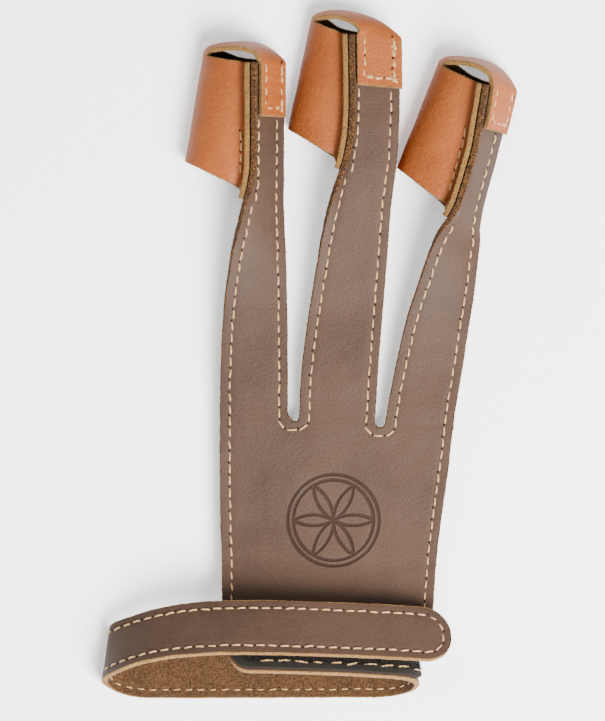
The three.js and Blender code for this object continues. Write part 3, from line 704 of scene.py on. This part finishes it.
def add_leather(name, grids, thickness, materials, edge, seams=()):
    """A closed leather piece with rounded cut edges and its seams drawn into both sides."""
    points, quads = weld(grids)
    normals = normals_of(points, quads)
    fray = sum(unevenness(points, *wave) for wave in FRAY)
    half = np.full(len(points), thickness / 2)
    if len(seams):
        half -= GROOVE_DEPTH * nearness(points, np.vstack(seams), GROOVE_REACH)
    edges = dict.fromkeys(pair for quad in quads for pair in zip(quad, quad[1:] + quad[:1]))
    border = {p: q for p, q in edges if p != q and (q, p) not in edges}
    outward = {p: np.zeros(3) for p in border}
    for p, q in border.items():
        side = unit(np.cross(points[q] - points[p], normals[p] + normals[q]))
        outward[p] += side
        outward[q] += side
    outward = {p: unit(out) for p, out in outward.items()}
    count = len(points)
    upper, lower = points + normals * half[:, None], points - normals * half[:, None]
    upper += normals * unevenness(points, *SWELL)[:, None]
    for p, out in outward.items():
        upper[p] -= out * (edge - fray[p])
        lower[p] -= out * (edge - fray[p])
    vertices = [*upper, *lower]
    faces = [tuple(quad) for quad in quads]
    faces += [tuple(count + v for v in reversed(quad)) for quad in quads]
    kinds = [GRAIN] * len(quads) + [FLESH] * len(quads)
    rounds = [(edge * (math.sin(turn) - 1), edge * (math.cos(turn) - 1)) for turn in EDGE_ANGLES]
    profile = [(out, 1, rise) for out, rise in rounds]
    profile += [(out, -1, -rise) for out, rise in reversed(rounds)]
    rings = {p: [p] for p in border}
    for out, side, rise in profile:
        for p in border:
            rings[p].append(len(vertices))
            vertices.append(
                points[p] + outward[p] * (out + fray[p]) + normals[p] * (side * half[p] + rise))
    for p in border:
        rings[p].append(count + p)
    for p, q in border.items():
        for k in range(len(profile) + 1):
            faces.append((rings[q][k], rings[p][k], rings[p][k + 1], rings[q][k + 1]))
            kinds.append(EDGE)
    vertices = np.maximum(vertices, [-np.inf, -np.inf, 0])
    mesh = bpy.data.meshes.new(name)
    mesh.from_pydata([(v + DRAWING_SHIFT) * MM for v in vertices], [], faces)
    for material in materials:
        mesh.materials.append(material)
    mesh.polygons.foreach_set("material_index", kinds)
    mesh.shade_smooth()
    mesh.validate()
    mesh.update()
    return link_object(name, mesh), points, normals, half


def even_steps(line, pitch):
    """Points on a line at equal steps of about the pitch, and the directions along it."""
    gone = travelled(line)
    count = max(1, round(gone[-1] / pitch))
    marks = (np.arange(count) + 0.5) * gone[-1] / count
    ends = [np.column_stack([np.interp(marks + shift, gone, line[:, k]) for k in range(3)])
            for shift in (-pitch * 0.4, 0, pitch * 0.4)]
    return ends[1], units(ends[2] - ends[0])


def linear(shade):
    """An sRGB colour turned to linear, with alpha."""
    return [c / 12.92 if c <= 0.04045 else ((c + 0.055) / 1.055) ** 2.4 for c in shade] + [1]


def add_node(tree, kind, settings=None, **links):
    """Adds a node, with its settings by attribute or socket and its links by socket name."""
    node = tree.nodes.new(kind)
    for key, value in (settings or {}).items():
        if hasattr(node, key):
            setattr(node, key, value)
        else:
            node.inputs[int(key) if key.isdigit() else key].default_value = value
    for key, source in links.items():
        socket = node.inputs[int(key[1:]) if key[0] == "_" else key.replace("_", " ")]
        tree.links.new(source, socket)
    return node


def calculate(tree, operation, *terms):
    """The result of a Math node, whose terms are sockets or plain numbers."""
    node = add_node(tree, "ShaderNodeMath", {"operation": operation})
    for socket, term in zip(node.inputs, terms):
        if isinstance(term, bpy.types.NodeSocket):
            tree.links.new(term, socket)
        else:
            socket.default_value = term
    return node.outputs[0]


def new_material(name, roughness, **principled):
    """A material with a Principled surface, and its Object coordinates."""
    material = bpy.data.materials.new(name)
    material.use_nodes = True
    tree = material.node_tree
    shader = tree.nodes["Principled BSDF"]
    shader.inputs["Roughness"].default_value = roughness
    for key, value in principled.items():
        shader.inputs[key.replace("_", " ")].default_value = value
    return material, tree, shader, add_node(tree, "ShaderNodeTexCoord").outputs["Object"]


def blots(tree, place, size, detail, **settings):
    """Noise with blots of a size in millimetres."""
    return add_node(tree, "ShaderNodeTexNoise", {"Scale": 1 / (size * MM), "Detail": detail, **settings},
                    Vector=place).outputs["Fac"]


def dress(tree, shader, shade, height, strength, depth):
    """Gives a surface its colour and its relief, with the depth in millimetres."""
    bump = add_node(tree, "ShaderNodeBump", {"Strength": strength, "Distance": depth * MM}, Height=height)
    tree.links.new(shade, shader.inputs["Base Color"])
    tree.links.new(bump.outputs[0], shader.inputs["Normal"])


def dimmed(shade, share):
    """A colour made darker or lighter by a share."""
    return tuple(min(1, part * share) for part in shade)


def ramp(tree, source, stops):
    """A colour ramp over a value, from pairs of place and colour."""
    node = add_node(tree, "ShaderNodeValToRGB", Fac=source)
    elements = node.color_ramp.elements
    while len(elements) < len(stops):
        elements.new(0.5)
    for element, (position, shade) in zip(elements, stops):
        element.position, element.color = position, linear(shade)
    return node.outputs["Color"]


def rosette(tree, place, centre, reach, line):
    """How far a compass-drawn flower of six petals, in a double ring, is pressed in at each place."""
    spot = add_node(tree, "ShaderNodeVectorMath", {
        "operation": "MULTIPLY_ADD", "1": (1 / reach, 1 / reach, 0),
        "2": (-centre[0] / reach, -centre[1] / reach, 0)}, _0=place).outputs[0]

    def away(x, y):
        return add_node(tree, "ShaderNodeVectorMath", {"operation": "DISTANCE", "1": (x, y, 0)},
                        _0=spot).outputs["Value"]

    def off_circle(gap, radius):
        return calculate(tree, "ABSOLUTE", calculate(tree, "SUBTRACT", gap, radius))

    middle = away(0, 0)
    petals = off_circle(away(1, 0), 1)
    for turn in range(1, 6):
        angle = turn * math.pi / 3
        petals = calculate(tree, "MINIMUM", petals, off_circle(away(math.cos(angle), math.sin(angle)), 1))
    nearest = calculate(tree, "MAXIMUM", petals, calculate(tree, "SUBTRACT", middle, 1))
    for radius in ROSETTE_RINGS:
        nearest = calculate(tree, "MINIMUM", nearest, off_circle(middle, radius))
    return add_node(tree, "ShaderNodeMapRange", {
        "interpolation_type": "SMOOTHSTEP", "From Min": 0.3 * line / reach, "From Max": line / reach,
        "To Min": 1, "To Max": 0}, Value=nearest).outputs[0]


def grain_leather(name, light, dark, pore, relief, roughness, tooled=None):
    """Smooth top-grain leather, drum dyed and lightly plated: soft clouds of dye, a fine pebble of
    pores, and a low waxy sheen that breaks up on the pores."""
    material, tree, shader, place = new_material(name, roughness, Specular_IOR_Level=0.14)
    clouds, specks, creases = (blots(tree, place, *wave) for wave in ((22, 4), (1.1, 3), (3.5, 2)))
    pores = add_node(tree, "ShaderNodeTexVoronoi", {"Scale": 1 / (pore * MM), "feature": "SMOOTH_F1"},
                     Vector=place).outputs["Distance"]
    shade = ramp(tree, calculate(tree, "MULTIPLY_ADD", specks, 0.45, clouds), ((0.45, dark), (0.85, light)))
    height = calculate(tree, "MULTIPLY_ADD", creases, 0.5, pores)
    if tooled:
        *drawing, stain = tooled
        pressed = rosette(tree, place, *drawing)
        height = calculate(tree, "MULTIPLY_ADD", pressed, -2.5, height)
        shade = add_node(tree, "ShaderNodeMix", {
            "data_type": "RGBA", "blend_type": "MULTIPLY", "7": linear(stain)},
            _0=pressed, _6=shade).outputs[2]
    gloss = add_node(tree, "ShaderNodeMapRange", {"To Min": roughness - 0.08, "To Max": roughness + 0.1},
                     Value=specks)
    tree.links.new(gloss.outputs[0], shader.inputs["Roughness"])
    dress(tree, shader, shade, height, 0.7, relief)
    return material


def flesh_leather(name, light, dark, fibre, balance):
    """The split side or the cut edge: matt, loose collagen fibres with dark pits between them."""
    material, tree, shader, place = new_material(name, 0.95, Sheen_Weight=0.06, Sheen_Roughness=0.6,
                                                 Specular_IOR_Level=0.1)
    nap = blots(tree, place, fibre, 5, Roughness=0.7)
    both = calculate(tree, "MULTIPLY_ADD", blots(tree, place, 5, 3), 0.14, nap)
    shade = ramp(tree, both, ((balance - 0.1, dark), (balance + 0.1, light)))
    dress(tree, shader, shade, nap, 0.9, 0.35)
    return material


def waxed_thread(name, shade):
    """Waxed polyester thread: a pale, slightly glossy cord with a fine fuzz."""
    material, tree, shader, place = new_material(name, 0.45, Sheen_Weight=0.2)
    fuzz = blots(tree, place, 0.25, 2)
    dress(tree, shader, ramp(tree, fuzz, ((0.3, dimmed(shade, 0.8)), (0.7, shade))), fuzz, 0.5, 0.06)
    return material


def woven_tape(name, shade):
    """Woven nylon tape: black, with fine ribs across it and a dull sheen."""
    material, tree, shader, place = new_material(name, 0.85, Specular_IOR_Level=0.12)
    rib = add_node(tree, "ShaderNodeTexWave", {
        "Scale": 1 / (2 * math.pi * 0.16 * MM), "bands_direction": "X"}, Vector=place).outputs["Fac"]
    weave = calculate(tree, "MULTIPLY_ADD", rib, 0.6, blots(tree, place, 0.4, 4))
    dress(tree, shader, ramp(tree, weave, ((0.35, dimmed(shade, 0.55)), (1, dimmed(shade, 1.5)))),
          weave, 0.8, 0.15)
    return material


def plain_surface(name, shade, glow=0):
    """A matt surface with no pattern of its own, which may glow with its own colour."""
    material, _, shader, _ = new_material(name, 0.9, Specular_IOR_Level=0.1, Emission_Strength=glow)
    for key in ("Base Color", "Emission Color"):
        shader.inputs[key].default_value = linear(shade)
    return material


MATERIALS = {}


def material(key):
    """A material of the glove, made when it is first asked for."""
    if key not in MATERIALS:
        look = bpy.context.scene.glove_colours
        centre = (ROSETTE_CENTRE + DRAWING_SHIFT[:2]) * MM
        flower = (centre, ROSETTE_REACH * MM, ROSETTE_LINE * MM, look.pressed)
        brown = (look.brown_grain, look.brown_dark, *BROWN_GRAIN)
        makers = {
            "brown grain": (grain_leather, "Brown Grain Leather", *brown),
            "tooled grain": (grain_leather, "Tooled Brown Grain Leather", *brown, flower),
            "tan grain": (grain_leather, "Tan Grain Leather", look.tan_grain, look.tan_dark, *TAN_GRAIN),
            "flesh": (flesh_leather, "Leather Flesh Side", look.flesh_light, look.flesh_dark, *FLESH_NAP),
            "edge": (flesh_leather, "Leather Cut Edge", look.edge_light, look.edge_dark, *EDGE_NAP),
            "fin": (flesh_leather, "Stained Cut Edge", look.fin_light, look.fin_dark, *FIN_NAP),
            "thread": (waxed_thread, "Waxed Thread", look.thread),
            # Painted shade: a dark matt surface for the discs that stand in for the shadow in the needle
            # holes.
            "hole": (plain_surface, "Needle Hole", look.hole),
            "tape": (woven_tape, "Woven Nylon Tape", look.tape),
            "floor": (plain_surface, "Seamless Paper", look.floor, bpy.context.scene.glove_stage.glow),
        }
        maker, *wanted = makers[key]
        MATERIALS[key] = maker(*wanted)
    return MATERIALS[key]


def new_tree(name, **sockets):
    """A Geometry Nodes tree with named inputs, and the ways to take an input or a share of it."""
    tree = bpy.data.node_groups.new(name, "GeometryNodeTree")
    tree.interface.new_socket("Geometry", in_out="OUTPUT", socket_type="NodeSocketGeometry")
    for socket, kind in {"Geometry": "Geometry", **sockets}.items():
        tree.interface.new_socket(socket.replace("_", " "), in_out="INPUT", socket_type=f"NodeSocket{kind}")
    given = tree.nodes.new("NodeGroupInput").outputs
    return tree, given, lambda socket, share: calculate(tree, "MULTIPLY", given[socket], share)


def vector(tree, **parts):
    return add_node(tree, "ShaderNodeCombineXYZ", None, **parts).outputs[0]


def chance(tree, low, high, seed):
    """A random vector for each point, between two corners."""
    return add_node(tree, "FunctionNodeRandomValue", {"data_type": "FLOAT_VECTOR", "0": low, "1": high},
                    Seed=seed).outputs[0]


def cord_piece(tree, start, middle, end, steps, radius, sides):
    """A short closed cord along a bent line."""
    line = add_node(tree, "GeometryNodeCurveQuadraticBezier", {"Resolution": steps},
                    Start=start, Middle=middle, End=end)
    section = add_node(tree, "GeometryNodeCurvePrimitiveCircle", {"Resolution": sides}, Radius=radius)
    return add_node(tree, "GeometryNodeCurveToMesh", {"Fill Caps": True},
                    Curve=line.outputs[0], Profile_Curve=section.outputs[0]).outputs[0]


def turned(tree, rotation, sway):
    return add_node(tree, "FunctionNodeRotateRotation", {"rotation_space": "LOCAL"},
                    Rotation=rotation, Rotate_By=sway).outputs[0]


def set_out(tree, points, instance, rotation, **scale):
    """Sets an instance on each point."""
    return add_node(tree, "GeometryNodeInstanceOnPoints", None, Points=points, Instance=instance,
                    Rotation=rotation, **scale).outputs[0]


def finish_tree(tree, looks):
    """Makes instances real, gives them their materials and joins them into the tree's output."""
    joined = tree.nodes.new("GeometryNodeJoinGeometry")
    for source, look in looks:
        real = add_node(tree, "GeometryNodeRealizeInstances", None, Geometry=source)
        smooth = add_node(tree, "GeometryNodeSetShadeSmooth", None, Geometry=real.outputs[0])
        dressed = add_node(tree, "GeometryNodeSetMaterial", None, Geometry=smooth.outputs[0], Material=look)
        tree.links.new(dressed.outputs[0], joined.inputs[0])
    result = tree.nodes.new("NodeGroupOutput")
    tree.links.new(joined.outputs[0], result.inputs[0])
    return tree


def stitch_tree():
    """Geometry Nodes that sew a stitch on each point, and lay a flat disc of painted shade at its end,
    standing in for the shadow inside a needle hole.
    """
    tree, given, part = new_tree(
        "Saddle Stitches", Length="Float", Thread="Float", Pitch="Float", Seed="Int",
        Thread_Material="Material", Hole_Material="Material")
    sink = part("Thread", -0.55)
    stitch = cord_piece(
        tree, vector(tree, X=part("Length", -0.5), Z=sink), vector(tree, Z=part("Thread", 0.95)),
        vector(tree, X=part("Length", 0.5), Z=sink), 6, part("Thread", 0.5), 7)
    run, up = (add_node(tree, "GeometryNodeInputNamedAttribute", {"data_type": "FLOAT_VECTOR", "Name": name})
               .outputs["Attribute"] for name in ("run", "up"))
    stand = add_node(tree, "FunctionNodeAxesToRotation", {"primary_axis": "Z", "secondary_axis": "X"},
                     Primary_Axis=up, Secondary_Axis=run).outputs[0]
    sway = chance(tree, (-0.02, -0.03, -0.16), (0.02, 0.03, -0.02), given["Seed"])
    stretch = chance(tree, (0.93, 0.92, 0.85), (1.05, 1.08, 1.1), given["Seed"])
    sewn = set_out(tree, given["Geometry"], stitch, turned(tree, stand, sway), Scale=stretch)
    ahead = add_node(tree, "ShaderNodeVectorMath", {"operation": "SCALE"}, _0=run, Scale=part("Pitch", 0.5))
    moved = add_node(tree, "GeometryNodeSetPosition", None, Geometry=given["Geometry"],
                     Offset=ahead.outputs[0])
    # Painted shade: a flat disc in the dark hole colour, laid on the surface, stands in for the shadow
    # inside a needle hole.
    shade_disc = add_node(tree, "GeometryNodeMeshIcoSphere", {"Subdivisions": 2}, Radius=part("Thread", 0.5))
    flat = add_node(tree, "GeometryNodeTransform", {"Scale": (1.25, 1.0, 0.16)}, Geometry=shade_disc.outputs[0])
    shade_discs = set_out(tree, moved.outputs[0], flat.outputs[0], stand)
    return finish_tree(tree, [(sewn, given["Thread Material"]), (shade_discs, given["Hole Material"])])


def fibre_tree():
    """Geometry Nodes that stand short bent fibres all over a surface, leaning every way."""
    tree, given, part = new_tree("Short Fibres", Length="Float", Width="Float", Density="Float",
                                 Seed="Int", Fibre_Material="Material")
    fibre = cord_piece(
        tree, vector(tree, Z=part("Length", -0.2)), vector(tree, Z=part("Length", 0.7)),
        vector(tree, X=part("Length", 0.6), Z=part("Length", 0.6)), 2, part("Width", 0.5), 3)
    spots = add_node(tree, "GeometryNodeDistributePointsOnFaces", None, Mesh=given["Geometry"],
                     Density=given["Density"], Seed=given["Seed"]).outputs
    lean = chance(tree, (-0.7, -0.7, -3.1), (0.7, 0.7, 3.1), given["Seed"])
    size = chance(tree, (0.6, 0.6, 0.4), (1.3, 1.3, 1.2), given["Seed"])
    grown = set_out(tree, spots["Points"], fibre, turned(tree, spots["Rotation"], lean), Scale=size)
    return finish_tree(tree, [(grown, given["Fibre Material"])])


def run_tree(name, mesh, tree, slot, **wanted):
    """Runs a tree on a mesh with the inputs wanted, and keeps its result as a plain riding mesh."""
    holder = link_object(name, mesh)
    modifier = holder.modifiers.new(tree.name, "NODES")
    modifier.node_group = tree
    for item in tree.interface.items_tree:
        key = item.name.replace(" ", "_")
        if key in wanted:
            modifier[item.identifier] = wanted[key]
    bpy.context.view_layer.update()
    evaluated = holder.evaluated_get(bpy.context.evaluated_depsgraph_get())
    result = bpy.data.meshes.new_from_object(evaluated)
    if not len(result.polygons):
        raise RuntimeError(f"{name} came out empty")
    holder.modifiers.clear()
    holder.data = result
    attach(holder, "root")


def sew(name, lines, points, normals, half, side=1, pitch=None, loose=0.06, thin=1,
        slot="brown_leather"):
    """Sews a stitched seam along each line of a piece's middle surface, on one of its sides."""
    sizes = bpy.context.scene.glove_sizes
    draw = np.random.default_rng(sizes.seed)
    pitch = pitch or sizes.stitch_pitch / MM
    skin = finder(points)
    marks, runs, ups = [], [], []
    for line in lines:
        places, ways = even_steps(line, pitch)
        span = min(1, travelled(line)[-1] / pitch)
        for place, way in zip(places, ways):
            near = [index for _, index, _ in skin.find_n(Vector(place), 4)]
            up = unit(normals[near].mean(axis=0) * side)
            place = place + up * (half[near[0]] + THREAD_LIFT)
            if place[2] < sizes.thread / MM:
                continue
            marks.append((place + draw.normal(0, loose, 3) * [1, 1, 0.3] + DRAWING_SHIFT) * MM)
            runs.append((way + np.cross(up, way) * STITCH_SLANT + draw.normal(0, loose, 3)) * span)
            ups.append(up)
    mesh = bpy.data.meshes.new(name)
    mesh.from_pydata(marks, [], [])
    for key, values in (("run", runs), ("up", ups)):
        attribute = mesh.attributes.new(key, "FLOAT_VECTOR", "POINT")
        attribute.data.foreach_set("vector", np.array(values).ravel())
    tree = bpy.data.node_groups.get("Saddle Stitches") or stitch_tree()
    # Painted shade: the hole material darkens flat discs at the needle holes in place of their shadow.
    run_tree(
        name, mesh, tree, slot, Length=sizes.stitch_length * thin * pitch * MM / sizes.stitch_pitch,
        Thread=sizes.thread * thin, Pitch=pitch * MM, Seed=sizes.seed,
        Thread_Material=material("thread"), Hole_Material=material("hole"))


def grow(name, vertices, faces, look, slot, length, width, density):
    """Stands a nap of short fibres on a surface, so many to the square millimetre."""
    mesh = bpy.data.meshes.new(name)
    mesh.from_pydata(vertices, [], faces)
    tree = bpy.data.node_groups.get("Short Fibres") or fibre_tree()
    run_tree(name, mesh, tree, slot, Length=length * MM, Width=width * MM, Density=density / MM ** 2,
             Seed=bpy.context.scene.glove_sizes.seed, Fibre_Material=material(look))


def faces_of(piece, kind, facing=-2.0):
    """The vertices of a piece, and its faces of one kind that face up at least so much."""
    faces = [tuple(face.vertices) for face in piece.data.polygons
             if face.material_index == kind and face.normal.z > facing]
    return [vertex.co.copy() for vertex in piece.data.vertices], faces


def strip_seams(name):
    """The seam lines of a finger strip: up its left side, up its right side and beside the fin."""
    strip, stall = STRIPS[name], STALLS[name]
    first = strip["rows"]["along"][0] + SLOT_GAP
    patch_end = 1 - stall["patch"] / strip["reach"]
    left, right, fold = [], [], []
    for along in np.linspace(first, patch_end - PATCH_GAP, SEAM_POINTS):
        row = strip_frame(name, along)
        right.append(face_point(row, row["width"] - FACE_INSET * mix(0.6, 1, math.cos(row["turn"]))))
        if along < stall["mouth"] - MOUTH_GAP:
            left.append(margin_point(row, 0.0))
        elif name in FACE_SEAMS:
            fold.append(face_point(row, FACE_SEAMS[name] * math.cos(row["turn"])))
    return left, right, fold


def panel_seams():
    """All seam lines of the hand panel, round the slots from strip to strip."""
    sides = {name: strip_seams(name) for name in STRIPS}
    outer_left, outer_right = [], []
    for row in body_rows()[len(TAIL_SHARES) - SEWN_TAIL_ROWS:-1]:
        run = unit(row[-1] - row[0])
        outer_left.append(row[0] + run * SEAM_MARGIN)
        outer_right.append(row[-1] - run * FACE_INSET)
    names = list(STRIPS)
    lines = [np.array(outer_left + sides[names[0]][0]), np.array(outer_right + sides[names[-1]][1])]
    for before, after in zip(names, names[1:]):
        a, b = sides[before][1][0], sides[after][0][0]
        centre, reach = (a + b) / 2, (b[0] - a[0]) / 2
        centre[1] = root_row(before)[-1][1] + SLOT_SEAM_SHIFT
        turn = [centre - [math.cos(angle) * reach, math.sin(angle) * SLOT_SEAM_DROP, 0]
                for angle in np.linspace(0, math.pi, 13)]
        lines.append(np.array(sides[before][1][::-1] + turn + sides[after][0]))
    return lines, [np.array(sides[name][2]) for name in FACE_SEAMS]


def patch_seams(name, seat):
    """The seam round three sides of a stall's patch, partly sewn twice, with its knots."""
    left, right = PATCH_SEAMS
    end = 1 - (STALLS[name]["patch"] - PATCH_INSET) / STRIPS[name]["reach"]
    alongs = np.linspace(1, end, 12)
    lines = [np.array([patch_point(name, along, seat, left) for along in alongs]),
             np.array([patch_point(name, end, seat, share) for share in np.linspace(left, right, 9)]),
             np.array([patch_point(name, along, seat, right) for along in alongs[::-1]])]
    lines += [line - SECOND_ROUND for line in lines[1:]]
    for knot in (lines[1][-1], lines[2][-3]):
        lines += [np.array([knot - way, knot + way]) for way in KNOT]
    return lines


def strap_seams():
    """The seam along both sides of the strap and round its free tip."""
    half, corner = STRAP_WIDTH / 2 - STRAP_INSET, STRAP_CORNER - STRAP_INSET
    straight = np.linspace(STRAP_SEAM_START, STRAP_END - STRAP_CORNER, STRAP_SEAM_POINTS)
    near = [strap_point(distance, -half) for distance in straight]
    far = [strap_point(distance, half) for distance in straight[::-1]]
    tip = []
    for angle in np.linspace(0, math.pi, 25)[1:-1]:
        distance = STRAP_END - STRAP_CORNER + corner * math.sin(angle)
        offset = -(half - corner) * np.sign(math.cos(angle)) - corner * math.cos(angle)
        tip.append(strap_point(distance, offset))
    return [np.array(near + tip + far)]


class GLOVE_OT_panel(bpy.types.Operator):
    """Cuts and folds the hand panel with its three finger strips"""
    bl_idname = "glove.panel"
    bl_label = "Hand Panel"

    def execute(self, context):
        sizes = context.scene.glove_sizes
        lines, folds = panel_seams()
        looks = [material(key) for key in ("tooled grain", "flesh", "fin")]
        grids = [strip_rows(name) for name in STRIPS] + [body_rows()]
        piece, *skin = add_leather(
            "back_of_hand_panel", grids, sizes.panel_leather / MM, looks, sizes.edge_radius / MM, lines)
        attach(piece, "root")
        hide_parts("hand_panel")
        grow("panel_edge_nap", *faces_of(piece, EDGE, 0.35), "fin", "brown_leather", *PANEL_FIBRES)
        sew("panel_stitches", lines + folds, *skin)
        sew("panel_stitches_under", lines, *skin, side=-1)
        return {"FINISHED"}


class GLOVE_OT_stalls(bpy.types.Operator):
    """Folds the three finger stalls and sews their patches"""
    bl_idname = "glove.stalls"
    bl_label = "Finger Stalls"

    def execute(self, context):
        sizes = context.scene.glove_sizes
        leather = sizes.stall_leather / MM
        seat = (sizes.panel_leather / MM + leather) / 2 + CLEARANCE
        looks = [material(key) for key in ("tan grain", "flesh", "edge")]
        for name in STALLS:
            seams = patch_seams(name, seat)
            grids = stall_grids(name, seat, leather / 2)
            piece, *skin = add_leather(
                f"{name}_finger_stall", grids, leather, looks, sizes.edge_radius / MM, seams)
            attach(piece, "root")
            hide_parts(f"{name}_stall")
            grow(f"{name}_edge_nap", *faces_of(piece, EDGE, 0.2), "edge", "tan_leather", *STALL_FIBRES)
            sew(f"{name}_patch_stitches", seams, *skin, pitch=PATCH_PITCH, loose=0.16,
                slot="tan_leather")
            if name in STALL_SEAMS:
                line = [stall_section(name, share, seat, leather / 2)[4 * SECTION_STEPS]
                        for share in np.linspace(*STALL_SEAMS[name], 40)]
                sew(f"{name}_fin_stitches", [np.array(line)], *skin, slot="tan_leather")
        return {"FINISHED"}


class GLOVE_OT_strap(bpy.types.Operator):
    """Bends the wrist strap round the wrist and sews its edges"""
    bl_idname = "glove.strap"
    bl_label = "Wrist Strap"

    def execute(self, context):
        sizes = context.scene.glove_sizes
        seams = strap_seams()
        looks = [material(key) for key in ("brown grain", "flesh", "edge")]
        grid = band_grid(0, STRAP_END, (INNER_CORNER, STRAP_CORNER), STRAP_WIDTH / 2, 0)
        piece, *skin = add_leather(
            "strap_band", [grid], sizes.panel_leather / MM, looks, sizes.edge_radius / MM, seams)
        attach(piece, "root")
        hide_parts("wrist_strap")
        grow("strap_flesh_nap", *faces_of(piece, FLESH), "flesh", "brown_leather", *STRAP_FIBRES)
        sew("strap_stitches", seams, *skin)
        sew("strap_stitches_inside", seams, *skin, side=-1, thin=INSIDE_THREAD)
        return {"FINISHED"}


class GLOVE_OT_tapes(bpy.types.Operator):
    """Lays the hook and loop tapes on the strap's two ends"""
    bl_idname = "glove.tapes"
    bl_label = "Hook and Loop Tapes"

    def execute(self, context):
        sizes = context.scene.glove_sizes
        tape = sizes.tape / MM
        seat = (sizes.panel_leather / MM + tape) / 2 + CLEARANCE
        half = STRAP_WIDTH / 2 - TAPE_INSET
        looks = [material("tape")] * 3
        loop_end = STRAP_END - LOOP_PATCH_START
        for name, node, start, end, lift in (
            ("hook_tape", "hook_patch", HOOK_START, HOOK_START + HOOK_LENGTH, seat),
            ("loop_tape", "loop_patch", loop_end - LOOP_PATCH_LENGTH, loop_end, -seat),
        ):
            grid = band_grid(start, end, (TAPE_CORNER, TAPE_CORNER), half, lift)
            piece, *skin = add_leather(name, [grid], tape, looks, edge=0.2)
            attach(piece, "root")
            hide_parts(node)
            if name == "hook_tape":
                line = [strap_point(distance, half - TAPE_SEAM_INSET, lift)
                        for distance in np.linspace(start + TAPE_SEAM_START, end - TAPE_SEAM_END,
                                                    TAPE_SEAM_POINTS)]
                sew("hook_tape_stitches", [np.array(line)], *skin, pitch=TAPE_PITCH, loose=0.12,
                    slot="hook_tape")
                hooks = band_grid(
                    start + HOOK_MARGINS["start"], end - HOOK_MARGINS["end"], (TAPE_CORNER - 1,) * 2,
                    half - HOOK_MARGINS["side"], lift + tape / 2)
                points, quads = weld([hooks])
                grow("hook_tape_hooks", [(point + DRAWING_SHIFT) * MM for point in points], quads,
                     "tape", "hook_tape", *HOOKS)
        return {"FINISHED"}


class GLOVE_OT_stage(bpy.types.Operator):
    """Sets the floor, the soft lights and the camera over the glove"""
    bl_idname = "glove.stage"
    bl_label = "Stage"

    def execute(self, context):
        stage = context.scene.glove_stage
        bpy.ops.mesh.primitive_plane_add(size=4, location=(0, 0, -stage.floor_drop))
        floor = context.object
        floor.name = "floor"
        floor.data.materials.append(material("floor"))
        world = bpy.data.worlds.new("Studio")
        context.scene.world = world
        world.use_nodes = True
        sky = world.node_tree.nodes["Background"].inputs
        sky["Color"].default_value = (1, 1, 1, 1)
        sky["Strength"].default_value = stage.sky
        for name, place, size, share in LIGHTS:
            light = bpy.data.lights.new(name, "AREA")
            light.size, light.energy = size, stage.key_power * share
            lamp = link_object(name, light)
            lamp.location = place
            lamp.rotation_euler = Vector(place).to_track_quat("Z", "Y").to_euler()
        camera = bpy.data.cameras.new("camera")
        camera.lens = camera.sensor_width * stage.camera_height / stage.frame_height
        camera.clip_start = 0.05
        eye = link_object("camera", camera)
        eye.location = (*(DRAWING_SHIFT[:2] + VIEW_CENTRE) * MM, stage.camera_height)
        context.scene.camera = eye
        return {"FINISHED"}


class GLOVE_PT_panel(bpy.types.Panel):
    bl_idname = "GLOVE_PT_panel"
    bl_label = "Archery Glove"
    bl_space_type = "VIEW_3D"
    bl_region_type = "UI"
    bl_category = "Glove"

    def draw(self, context):
        for operator in OPERATORS:
            self.layout.operator(operator.bl_idname)
        for group in (context.scene.glove_sizes, context.scene.glove_colours, context.scene.glove_stage):
            for name in group.bl_rna.properties.keys():
                if name not in {"rna_type", "name"}:
                    self.layout.prop(group, name)


GROUPS = {"glove_sizes": GloveSizes, "glove_colours": GloveColours, "glove_stage": GloveStage}
OPERATORS = (GLOVE_OT_panel, GLOVE_OT_stalls, GLOVE_OT_strap, GLOVE_OT_tapes, GLOVE_OT_stage)


def register():
    for item in (*GROUPS.values(), *OPERATORS, GLOVE_PT_panel):
        bpy.utils.register_class(item)
    for name, group in GROUPS.items():
        setattr(bpy.types.Scene, name, PointerProperty(type=group))


def unregister():
    for name in GROUPS:
        delattr(bpy.types.Scene, name)
    for item in (GLOVE_PT_panel, *reversed(OPERATORS), *GROUPS.values()):
        bpy.utils.unregister_class(item)


def main():
    register()
    bpy.ops.glove.panel()
    bpy.ops.glove.stalls()
    bpy.ops.glove.strap()
    bpy.ops.glove.tapes()
    bpy.ops.glove.stage()


if __name__ == "__main__":
    main()
